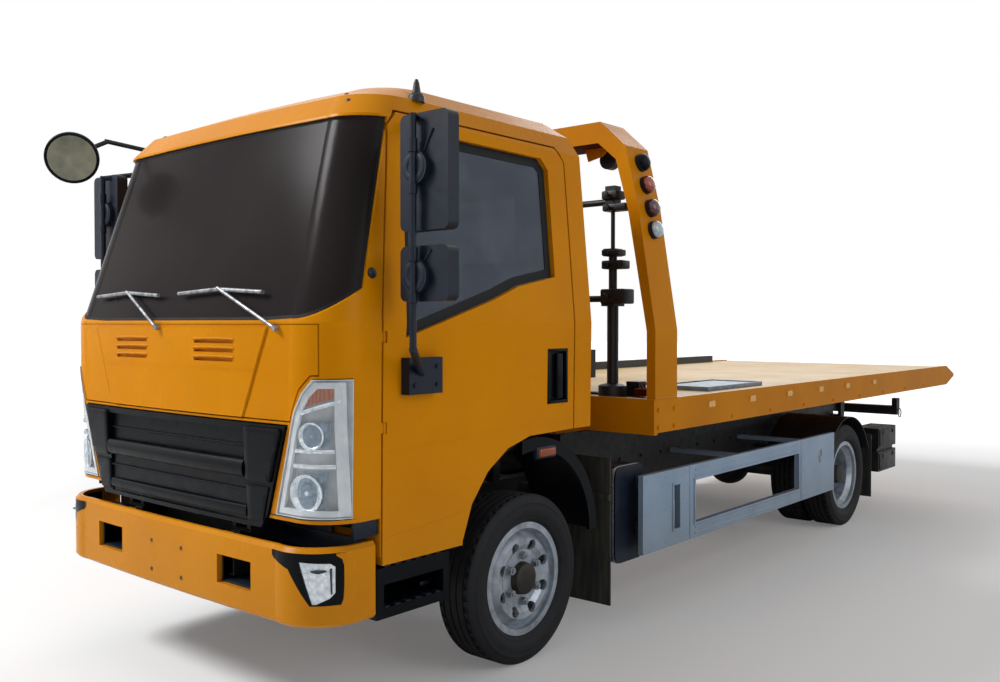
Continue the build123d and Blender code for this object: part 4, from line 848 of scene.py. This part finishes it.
for cushion, low, high, along, lines, rest in stuffed:
    cloth = cushion.modifiers.new("cloth", "CLOTH")
    cloth.settings.use_pressure = True
    cloth.settings.uniform_pressure_force = 4.0
    cloth.settings.effector_weights.gravity = 0.0
    cloth.point_cache.frame_start = 1
    cloth.point_cache.frame_end = CLOTH_FRAMES
for frame_number in range(1, CLOTH_FRAMES + 1):
    bpy.context.scene.frame_set(frame_number)
for cushion, low, high, along, lines, rest in stuffed:
    swollen = bpy.data.meshes.new_from_object(
        cushion.evaluated_get(bpy.context.evaluated_depsgraph_get()))
    for v, start in zip(swollen.vertices, rest):
        move = v.co - start
        if move.length > SWELL:
            v.co = start + move * (SWELL / move.length)
    cushion.modifiers.clear()
    cushion.data = swollen
bpy.context.scene.frame_set(1)
for cushion, low, high, along, lines, rest in stuffed:
    middle = (Vector(low) + Vector(high)) / 2
    for v in cushion.data.vertices:
        for line in lines:
            gap = (v.co[along] - line) / CHANNEL_HALF
            pull = CHANNEL_DEPTH * math.exp(-gap * gap)
            across = 2 if along == 1 else 0
            v.co[across] -= pull if v.co[across] > middle[across] else -pull
        for k in range(3):
            v.co[k] = min(max(v.co[k], low[k]), high[k])
    cushion.data.materials.clear()
    cushion.data.materials.append(seat_cloth)
    cushion.data.shade_smooth()
    rounded = cushion.modifiers.new("rounded", "SUBSURF")
    rounded.levels = 1
    rounded.render_levels = 1
    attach(cushion, "cab")
    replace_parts(cushion, "seats")


# Dashboard, instruments, gear lever and steering wheel.
# Grained black mouldings screwed to a steel cross tube; two round dials under one hood.
# The wheel's steel ring is foamed over, and its hub pad is clipped on.

DASH_SLOPE = Vector((-0.676, 0.0, 0.737))        # the way the instruments' panel faces
dials = bmesh.new()
for y in (0.385, 0.515):
    turned(dials, [(0.0001, 0.004), (0.043, 0.004), (0.046, 0.012), (0.052, 0.013), (0.056, 0.004),
                   (0.056, -0.006)], Vector((3.222, y, 1.347)), DASH_SLOPE, 32)
block(dials, (3.232, 0.300, 1.398), (3.345, 0.600, 1.440), 0.012)
for y in (0.740, 0.170, -0.170, -0.740):
    for slat in range(4):
        spot = Vector((3.190 + 0.022 * slat, y, 1.322 + 0.020 * slat))
        bar(dials, spot - Vector((0, 0.05, 0)), spot + Vector((0, 0.05, 0)), 0.006, 8)
block(dials, (3.150, -0.090, 1.180), (3.175, 0.110, 1.275), 0.004)
for number in range(5):
    block(dials, (3.144, -0.075 + 0.036 * number, 1.195), (3.154, -0.051 + 0.036 * number, 1.212), 0.002)
turned(dials, [(0.0001, 0.110), (0.018, 0.106), (0.024, 0.086), (0.014, 0.060), (0.010, 0.0),
               (0.010, -0.15), (0.045, -0.20), (0.055, -0.25)], (2.860, 0.130, 1.250), (0, 0, 1), 20)
piece("dashboard_fittings", dials, "cab", gloss_black)
WHEEL_FACE = Vector((-193, 0, 167)).normalized()
pad = bmesh.new()
turned(pad, [(0.0001, 0.030), (0.050, 0.028), (0.066, 0.022), (0.072, 0.010), (0.068, -0.012)],
       (2.960, 0.450, 1.430), WHEEL_FACE, 32)
for y in (0.360, 0.540):
    bar(pad, (3.030, 0.450, 1.366), (3.000, y, 1.395), 0.007, 10, 0.009)
piece("steering_wheel_pad", pad, "cab", black_plastic)


# Mudflaps behind the front and the rear wheels.
# Cut 10 mm rubber sheet, hung from a steel bar; grey with dried road mud.
# The bottom edge is scuffed thin where it meets kerbs.

# Flap rubber: brown-grey dust in soft vertical streaks over dull black
flap_rubber = textured("flap_rubber", {"Specular IOR Level": 0.15}, ((0.35, "2A2C2E"), (0.75, "48473F")),
                       (0.6, 0.9), (("Noise", {"Stretch": (40.0, 40.0, 4.0), "Scale": 1.0,
                                               "Detail": 4.0}),), (0.002, 0.4))
finish(flap_rubber, "mudflaps")


# Side guards: folded aluminium rails and panels, riveted between the axles.
# Pale blue-grey coating with faint roll marks along its length.
# Pressed ribs run along both rails to stiffen them, and flanges line the windows.

# Coated aluminium: soft sheen, roll marks drawn along the rails, dust low down
ROLL_MARKS = ("Noise", {"Stretch": (1.8, 24.0, 180.0), "Scale": 1.0})
guard_paint = textured("coated_aluminium", {"Metallic": 0.25, "IOR": 1.5},
                       ((0.3, "90A5BC"), (0.7, "8197AD")), (0.28, 0.55),
                       (("Noise", {"Scale": 5.0, "Detail": 4.0}), ROLL_MARKS, ROLL_MARKS),
                       (0.0003, 0.3), (0.62, 0.3, 0.3, "7D7A6E"))
finish(guard_paint, "side_guards")

GUARD_FACE = 1.050
WINDOWS = ((-0.300, 1.070), (1.240, 1.300))
SILL, HEAD = 0.430, 0.660
FLANGE = 0.012               # the width of the bars round each window in the guard
ribs = bmesh.new()


def border(shape, low, high, width, axis):
    """Add four bars that run round a rectangle, which an axis looks straight at."""
    across, up = [k for k in range(3) if k != axis]
    for thin, long, trim in ((up, across, 0.0), (across, up, width)):
        for near in (True, False):
            start, end = Vector(low), Vector(high)
            if near:
                end[thin] = start[thin] + width
            else:
                start[thin] = end[thin] - width
            start[long] += trim
            end[long] -= trim
            block(shape, start, end)


for level in (0.372, 0.404, 0.688, 0.718):
    bar(ribs, (-0.300, GUARD_FACE, level), (1.070, GUARD_FACE, level), 0.0045, 8)
for low, high in WINDOWS:
    border(ribs, (low - FLANGE, 1.046, SILL - FLANGE), (high + FLANGE, 1.056, HEAD + FLANGE), FLANGE, 1)
for x in (-0.350, 1.120):
    block(ribs, (x, 1.048, 0.350), (x + 0.010, 1.0535, 0.740), 0.002)
for x in (-0.880, -0.385, 1.160, 1.380, 1.570):
    for level in (0.375, 0.545, 0.715):
        turned(ribs, [(0.0001, 0.0035), (0.004, 0.003), (0.0065, -0.001)], (x, GUARD_FACE, level),
               (0, 1, 0), 10)
both_sides(ribs)
piece("guard_ribs", ribs, "chassis", guard_paint)
ovals = bmesh.new()
turned(ovals, [(0.013, 0.000), (0.014, 0.005), (0.018, 0.006), (0.021, 0.000)],
       (-0.658, GUARD_FACE, 0.612), (0, 1, 0), 32)
for v in ovals.verts:
    v.co.z = 0.612 + (v.co.z - 0.612) * 2.6
turned(ovals, [(0.0001, 0.002), (0.012, 0.002), (0.012, -0.002)], (-0.658, GUARD_FACE, 0.612),
       (0, 1, 0), 24)
both_sides(ovals)
piece("guard_holes", ovals, "chassis", worn)


# Tail boxes and their lamps.
# Folded steel tool boxes with lift-off side lids, each on two over-centre catches.
# The lamps are screwed to the boxes' rear ends under dyed lenses.

lids = bmesh.new()
for low, high in ((0.326, 0.456), (0.514, 0.646)):
    block(lids, (-2.500, 0.949, low), (-2.130, 0.957, high), 0.003)
    for x in (-2.430, -2.200):
        block(lids, (x - 0.014, 0.956, high - 0.036), (x + 0.014, 0.964, high - 0.006), 0.003)
both_sides(lids)
piece("tail_box_lids", lids, "chassis", enamel)

# Dyed acrylic lens: red through most of its width, amber outside, with 9 mm prisms
PRISMS = (("Voronoi", {"Scale": 110.0}, {"distance": "MANHATTAN"}),)
red = textured("dyed_acrylic", {"IOR": 1.49, "Coat Weight": 0.5}, None, (0.1, 0.25), PRISMS, (0.001, 0.4))
place = node(red, "ShaderNodeTexCoord").outputs["Object"]
across = node(red, "ShaderNodeSeparateXYZ", inputs={"Vector": place}).outputs["Y"]
wide = node(red, "ShaderNodeMath", {"operation": "ABSOLUTE"}, {0: across})
band = node(red, "ShaderNodeMapRange", inputs={"Value": wide, "From Min": 0.76, "From Max": 0.935})
dye = node(red, "ShaderNodeValToRGB",
           {"stops": ((0.0, "D8D8D4"), (0.20, "D8D8D4"), (0.22, "7E120E"), (0.70, "7E120E"),
                      (0.72, "C0600C"), (1.0, "C0600C"))}, {"Fac": band})
plug(red, red.node_tree.nodes["Principled BSDF"], {"Base Color": dye})
finish(red, "tail_lamps")
frames = bmesh.new()
for low, high in ((0.340, 0.440), (0.520, 0.640)):
    for start, end in (((0.752, low - 0.006), (0.943, low + 0.004)),
                       ((0.752, high - 0.004), (0.943, high + 0.006)),
                       ((0.752, low), (0.764, high)), ((0.931, low), (0.943, high))):
        block(frames, (-2.5445, start[0], start[1]), (-2.5195, end[0], end[1]), 0.002)
both_sides(frames)
piece("tail_lamp_frames", frames, "chassis", black_plastic)


# Platform, its lamp arch and their welded gussets.
# Rolled and folded steel plate in the same orange-yellow, with the floor's top painted paler as a painted sky
# reflection.
# It slides on two runners over the tilting frame.

# Enamel on plate; the floor's top is tread plate whose 25 mm lugs are drawn at 32 mm, and its pale cream
# colour is a painted sky reflection, patchy in tone
platform_enamel, shader, place = new_material("platform_enamel", {"Specular IOR Level": 0.06})
patches = node(platform_enamel, "ShaderNodeTexNoise", inputs={"Vector": place, "Scale": 2.0, "Detail": 3.0})
coat = node(platform_enamel, "ShaderNodeValToRGB", {"stops": ((0.3, "CC8204"), (0.7, "BC7404"))},
            {"Fac": patches})
facing = node(platform_enamel, "ShaderNodeTexCoord").outputs["Normal"]
upward = node(platform_enamel, "ShaderNodeSeparateXYZ", inputs={"Vector": facing}).outputs["Z"]
level = node(platform_enamel, "ShaderNodeSeparateXYZ", inputs={"Vector": place}).outputs["Z"]
# The floor's top, upward faces below 1.3 m, is where the pale painted reflection goes
low = node(platform_enamel, "ShaderNodeMapRange", inputs={"Value": level, "From Min": 1.3, "From Max": 1.2})
flat = node(platform_enamel, "ShaderNodeMapRange",
            inputs={"Value": upward, "From Min": 0.9, "From Max": 0.95})
top = node(platform_enamel, "ShaderNodeMath", {"operation": "MULTIPLY"}, {0: low, 1: flat})
sheen_patches = node(platform_enamel, "ShaderNodeTexNoise", inputs={"Vector": place, "Scale": 3.0, "Detail": 6.0})
# Pale cream, varied in patches: painted sky reflection on the floor's top
scuffs_and_sheen = node(platform_enamel, "ShaderNodeValToRGB", {"stops": ((0.25, "DDBF8C"), (0.75, "C9A468"))},
              {"Fac": sheen_patches})
plate = node(platform_enamel, "ShaderNodeMix", {"data_type": "RGBA"}, {0: top, 6: coat, 7: scuffs_and_sheen})
lugs = node(platform_enamel, "ShaderNodeTexWave", {"bands_direction": "DIAGONAL"},
            {"Vector": place, "Scale": 14.0, "Distortion": 2.0}).outputs["Fac"]
raised = node(platform_enamel, "ShaderNodeMath", {"operation": "MULTIPLY"}, {0: lugs, 1: top})
bumps = node(platform_enamel, "ShaderNodeBump",
             inputs={"Height": raised, "Distance": 0.0015, "Strength": 0.5})
gloss = node(platform_enamel, "ShaderNodeMapRange", inputs={"Value": sheen_patches, "To Min": 0.26, "To Max": 0.45})
plug(platform_enamel, shader, {"Base Color": plate.outputs[2], "Roughness": gloss, "Normal": bumps})
finish(platform_enamel, "deck", "lamp_arch")

# Matt dark brown-red: painted shade on a plate under the arch's cross beam, standing in for the orange beam
# in shadow; the winch's control box takes it as primer
primer_and_shade = textured("red_brown_primer_and_shade", {"Specular IOR Level": 0.1}, ((0.3, "5A2008"), (0.7, "46180A")),
                  (0.7, 0.9), (("Noise", {"Scale": 9.0, "Detail": 4.0}),))
soffit_shade = bmesh.new()
block(soffit_shade, (1.358, -0.745, 2.4440), (1.567, 0.745, 2.4468), 0.001)
piece("arch_soffit_shade", soffit_shade, "platform", primer_and_shade)

# Bolts and a weld bead where the arch's legs meet the platform's side
fixings = bmesh.new()
for x in (1.385, 1.540):
    for level in (0.985, 1.075):
        bar(fixings, (x, 1.099, level), (x, 1.108, level), 0.011, 6)
bar(fixings, (1.356, 1.100, 1.130), (1.569, 1.100, 1.130), 0.004, 8)
for number in range(8):
    x = 0.74 - 0.50 * number
    bar(fixings, (x, 1.0995, 0.985), (x, 1.1050, 0.985), 0.009, 6)
both_sides(fixings)
piece("platform_bolts", fixings, "platform", platform_enamel)

# Pale amber side lamps along the platform, the same 9 mm prisms drawn by colour alone
pale_amber = textured("pale_amber_acrylic", {"IOR": 1.49, "Coat Weight": 0.5},
                      ((0.0, "F8D98C"), (1.0, "E0A040")), (0.1, 0.25), PRISMS)
finish(pale_amber, "deck_lamps")


# Arch lamps: four round lamps down each leg, and a work lamp under each end of the beam.
# Dyed acrylic domes pressed into black moulded bodies; the work lamps have clear lenses.
# Each body is bolted through the plate with its wires inside the leg.

finish(black_plastic, "arch_lamps")


def dyed(name, colour, shade):
    """Dyed acrylic dome over a reflector, moulded in 9 mm prisms."""
    return textured(name, {"IOR": 1.49, "Coat Weight": 0.5}, ((0.0, colour), (0.9, shade)),
                    (0.1, 0.25), PRISMS, (0.001, 0.4))


# Y, Z and lean of each lamp's seat on the leg, its piece's name, slot and finish
DOMES = ((1.0170, 1.985, 0.1637, "clear", "lamp_body", dyed("clear_acrylic", "DCE8EC", "9FB0B8")),
         (0.9987, 2.097, 0.1637, "red", "tail_lamp", dyed("dark_red_acrylic", "6E1A26", "471018")),
         (0.9694, 2.217, 0.2510, "orange", "amber_lens", dyed("orange_acrylic", "B8502E", "8A3018")),
         (0.9400, 2.334, 0.2510, "black", "lamp_body", gloss_black))
for y, z, lean, word, slot, material in DOMES:
    dome = bmesh.new()
    way = Vector((0, 1, lean)).normalized()
    turned(dome, [(0.0001, 0.028), (0.016, 0.027), (0.030, 0.023), (0.040, 0.014), (0.0435, 0.004),
                  (0.0435, -0.003)], Vector((1.462, y, z)) + way * 0.024, way, 28)
    both_sides(dome)
    piece(f"arch_lamp_{word}", dome, "platform", material)
glasses = bmesh.new()
turned(glasses, [(0.0001, 0.008), (0.030, 0.006), (0.046, 0.000), (0.046, -0.004)],
       (1.338, 0.690, 2.392), (-1, 0, 0), 28)
both_sides(glasses)
piece("work_lamp_lenses", glasses, "platform", lens_clear)


# Stowage rack behind the cab: two stepped posts with clamps and cross bars.
# Welded tube and cut plate in black chassis enamel, with cast hand knobs.
# The clamps slide on the posts and are pinched by the knobs.

clamps = bmesh.new()
# Low and high Z of each clamp, how far it reaches across, and half its length, in metres
CLAMPS = ((1.612, 1.690, 0.100, 0.055), (1.795, 1.840, 0.080, 0.045), (1.864, 1.898, 0.055, 0.045),
          (2.098, 2.136, 0.100, 0.038), (2.160, 2.205, 0.050, 0.045))
for low, high, reach, half in CLAMPS:
    block(clamps, (1.470 - half, 0.780 - min(reach, 0.045), low), (1.470 + half, 0.780 + reach, high),
          0.008)
    middle = (low + high) / 2
    turned(clamps, [(0.0001, 0.030), (0.012, 0.029), (0.016, 0.022), (0.012, 0.012), (0.006, 0.008),
                    (0.006, -0.004)], (1.470 + half, 0.780, middle), (1, 0, 0), 14)
turned(clamps, [(0.030, 0.012), (0.045, 0.010), (0.066, 0.004), (0.074, 0.0), (0.074, -0.004)],
       (1.470, 0.780, 1.182), (0, 0, 1), 32)
both_sides(clamps)
piece("rack_clamps", clamps, "platform", enamel)


# Loose gear on the platform, the winch and its control box.
# Grey painted plate and black bar, bare steel rope, a small primed box with three levers.
# They are chained down, wound on or bolted.

# Worn enamel: blue-grey on the flat plate, black on the long bar along the far edge
gear_paint, shader, place = new_material("gear_enamel", {"IOR": 1.5})
scuffs_and_sheen = node(gear_paint, "ShaderNodeTexNoise", inputs={"Vector": place, "Scale": 20.0, "Detail": 6.0})
plate = node(gear_paint, "ShaderNodeValToRGB", {"stops": ((0.4, "7C8CA0"), (0.7, "66727F"))},
             {"Fac": scuffs_and_sheen})
across = node(gear_paint, "ShaderNodeSeparateXYZ", inputs={"Vector": place}).outputs["Y"]
near = node(gear_paint, "ShaderNodeMapRange", inputs={"Value": across, "To Max": 1.0, "From Max": 0.1})
paint = node(gear_paint, "ShaderNodeMix", {"data_type": "RGBA"}, {0: near, 6: "101216", 7: plate})
gloss = node(gear_paint, "ShaderNodeMapRange", inputs={"Value": scuffs_and_sheen, "To Min": 0.3, "To Max": 0.6})
plug(gear_paint, shader, {"Base Color": paint.outputs[2], "Roughness": gloss})
finish(gear_paint, "deck_gear")
edging = bmesh.new()
border(edging, (0.058, 0.608, 1.1203), (0.762, 0.962, 1.1450), 0.012, 2)
piece("plate_edging", edging, "platform", gear_paint)

# Oiled steel rope, wound in 16 mm laps across the drum
rope_steel = textured("rope_steel", {"Metallic": 0.8}, ((0.0, "3A3732"), (0.9, "8C877E")), (0.6, 0.35),
                      (("Wave", {"Scale": 19.5}, {"bands_direction": "Y"}),), (0.003, 0.8))
finish(rope_steel, "winch_drum")
controls = bmesh.new()
block(controls, (1.330, 0.890, 1.1303), (1.440, 0.975, 1.168), 0.004)
for number in range(3):
    x = 1.355 + 0.030 * number
    bar(controls, (x, 0.930, 1.166), (x, 0.915, 1.196), 0.004, 10)
piece("winch_controls", controls, "platform", primer_and_shade)


# Wheel lift: one ring near each end of the cross bar.
# Forged steel, galvanised, held by welded lugs.
# The rings take the straps that hold a towed wheel down.

rings = bmesh.new()
turned(rings, [(0.036, -0.005), (0.041, -0.0035), (0.043, 0.0), (0.041, 0.0035), (0.036, 0.005),
               (0.034, 0.0), (0.036, -0.005)], (-3.210, 0.764, 0.700), (0, 1, 0), 28)
both_sides(rings)
piece("lift_rings", rings, "lift_fork", galvanised)


# Studio: a pale floor under the truck, a white surround, and soft lamps.
# The camera stands where the photograph was taken from, at the eye height of a person.

FLOOR_LIFT = 0.12            # how much white the camera adds to the floor under the truck
floor_paint, shader, place = new_material(
    "floor_paint", {"Roughness": 0.95, "Specular IOR Level": 0.0, "Base Color": "EDEDED",
                    "Emission Color": "FFFFFF"})
away = node(floor_paint, "ShaderNodeVectorMath", {"operation": "LENGTH"}, {0: place})
fade = node(floor_paint, "ShaderNodeMapRange",
            inputs={"Value": away.outputs["Value"], "From Min": 5.0, "From Max": 14.0,
                    "To Min": FLOOR_LIFT, "To Max": 1.0})
seen = node(floor_paint, "ShaderNodeLightPath").outputs["Is Camera Ray"]
lift = node(floor_paint, "ShaderNodeMath", {"operation": "MULTIPLY"}, {0: seen, 1: fade})
plug(floor_paint, shader, {"Emission Strength": lift})
ground = bmesh.new()
bmesh.ops.create_grid(ground, x_segments=1, y_segments=1, size=60.0)
ground_mesh = bpy.data.meshes.new("floor")
ground.to_mesh(ground_mesh)
ground.free()
ground_mesh.materials.append(floor_paint)
floor = bpy.data.objects.new("floor", ground_mesh)
bpy.context.scene.collection.objects.link(floor)


def lamp(name, place, target, size, power, colour="FFFFFF"):
    """A square soft lamp that points at a target."""
    light = bpy.data.lights.new(name, "AREA")
    light.size = size
    light.energy = power
    light.color = linear(colour)[:3]
    made = bpy.data.objects.new(name, light)
    made.location = place
    made.rotation_euler = (Vector(target) - Vector(place)).to_track_quat("-Z", "Y").to_euler()
    bpy.context.scene.collection.objects.link(made)


lamp("key", (9.0, -5.5, 8.5), (0.5, 0.0, 1.0), 3.0, 1120)
lamp("side_fill", (1.0, 11.0, 5.0), (0.0, 0.0, 1.0), 7.0, 300)
lamp("rear_fill", (-10.0, -3.0, 7.0), (0.0, 0.0, 1.0), 6.0, 350)

surround = bpy.data.worlds.new("surround")
bpy.context.scene.world = surround
surround.use_nodes = True
surround.node_tree.nodes.clear()
path = node(surround, "ShaderNodeLightPath").outputs
seen = node(surround, "ShaderNodeMath", {"operation": "MAXIMUM"},
            {0: path["Is Camera Ray"], 1: path["Is Glossy Ray"]})
seen = node(surround, "ShaderNodeMath", {"operation": "MAXIMUM"},
            {0: seen, 1: path["Is Transmission Ray"]})
plain = node(surround, "ShaderNodeBackground", inputs={"Color": "FFFFFF", "Strength": 0.28})
white = node(surround, "ShaderNodeBackground", inputs={"Color": "FFFFFF", "Strength": 1.0})
mixed = node(surround, "ShaderNodeMixShader", inputs={0: seen, 1: plain, 2: white})
node(surround, "ShaderNodeOutputWorld", inputs={"Surface": mixed})

CAMERA_PLACE = Vector((5.6753, 3.5809, 1.5116))
CAMERA_HEADING = math.radians(220.43)
CAMERA_DROP = math.radians(1.085)
LENS = 34.22
camera_data = bpy.data.cameras.new("camera")
camera_data.lens = LENS
camera_data.sensor_width = 36.0
camera = bpy.data.objects.new("camera", camera_data)
camera.location = CAMERA_PLACE
ahead = Vector((math.cos(CAMERA_HEADING) * math.cos(CAMERA_DROP),
                math.sin(CAMERA_HEADING) * math.cos(CAMERA_DROP), -math.sin(CAMERA_DROP)))
camera.rotation_euler = ahead.to_track_quat("-Z", "Y").to_euler()
bpy.context.scene.collection.objects.link(camera)
bpy.context.scene.camera = camera
bpy.context.scene.view_settings.view_transform = "Standard"
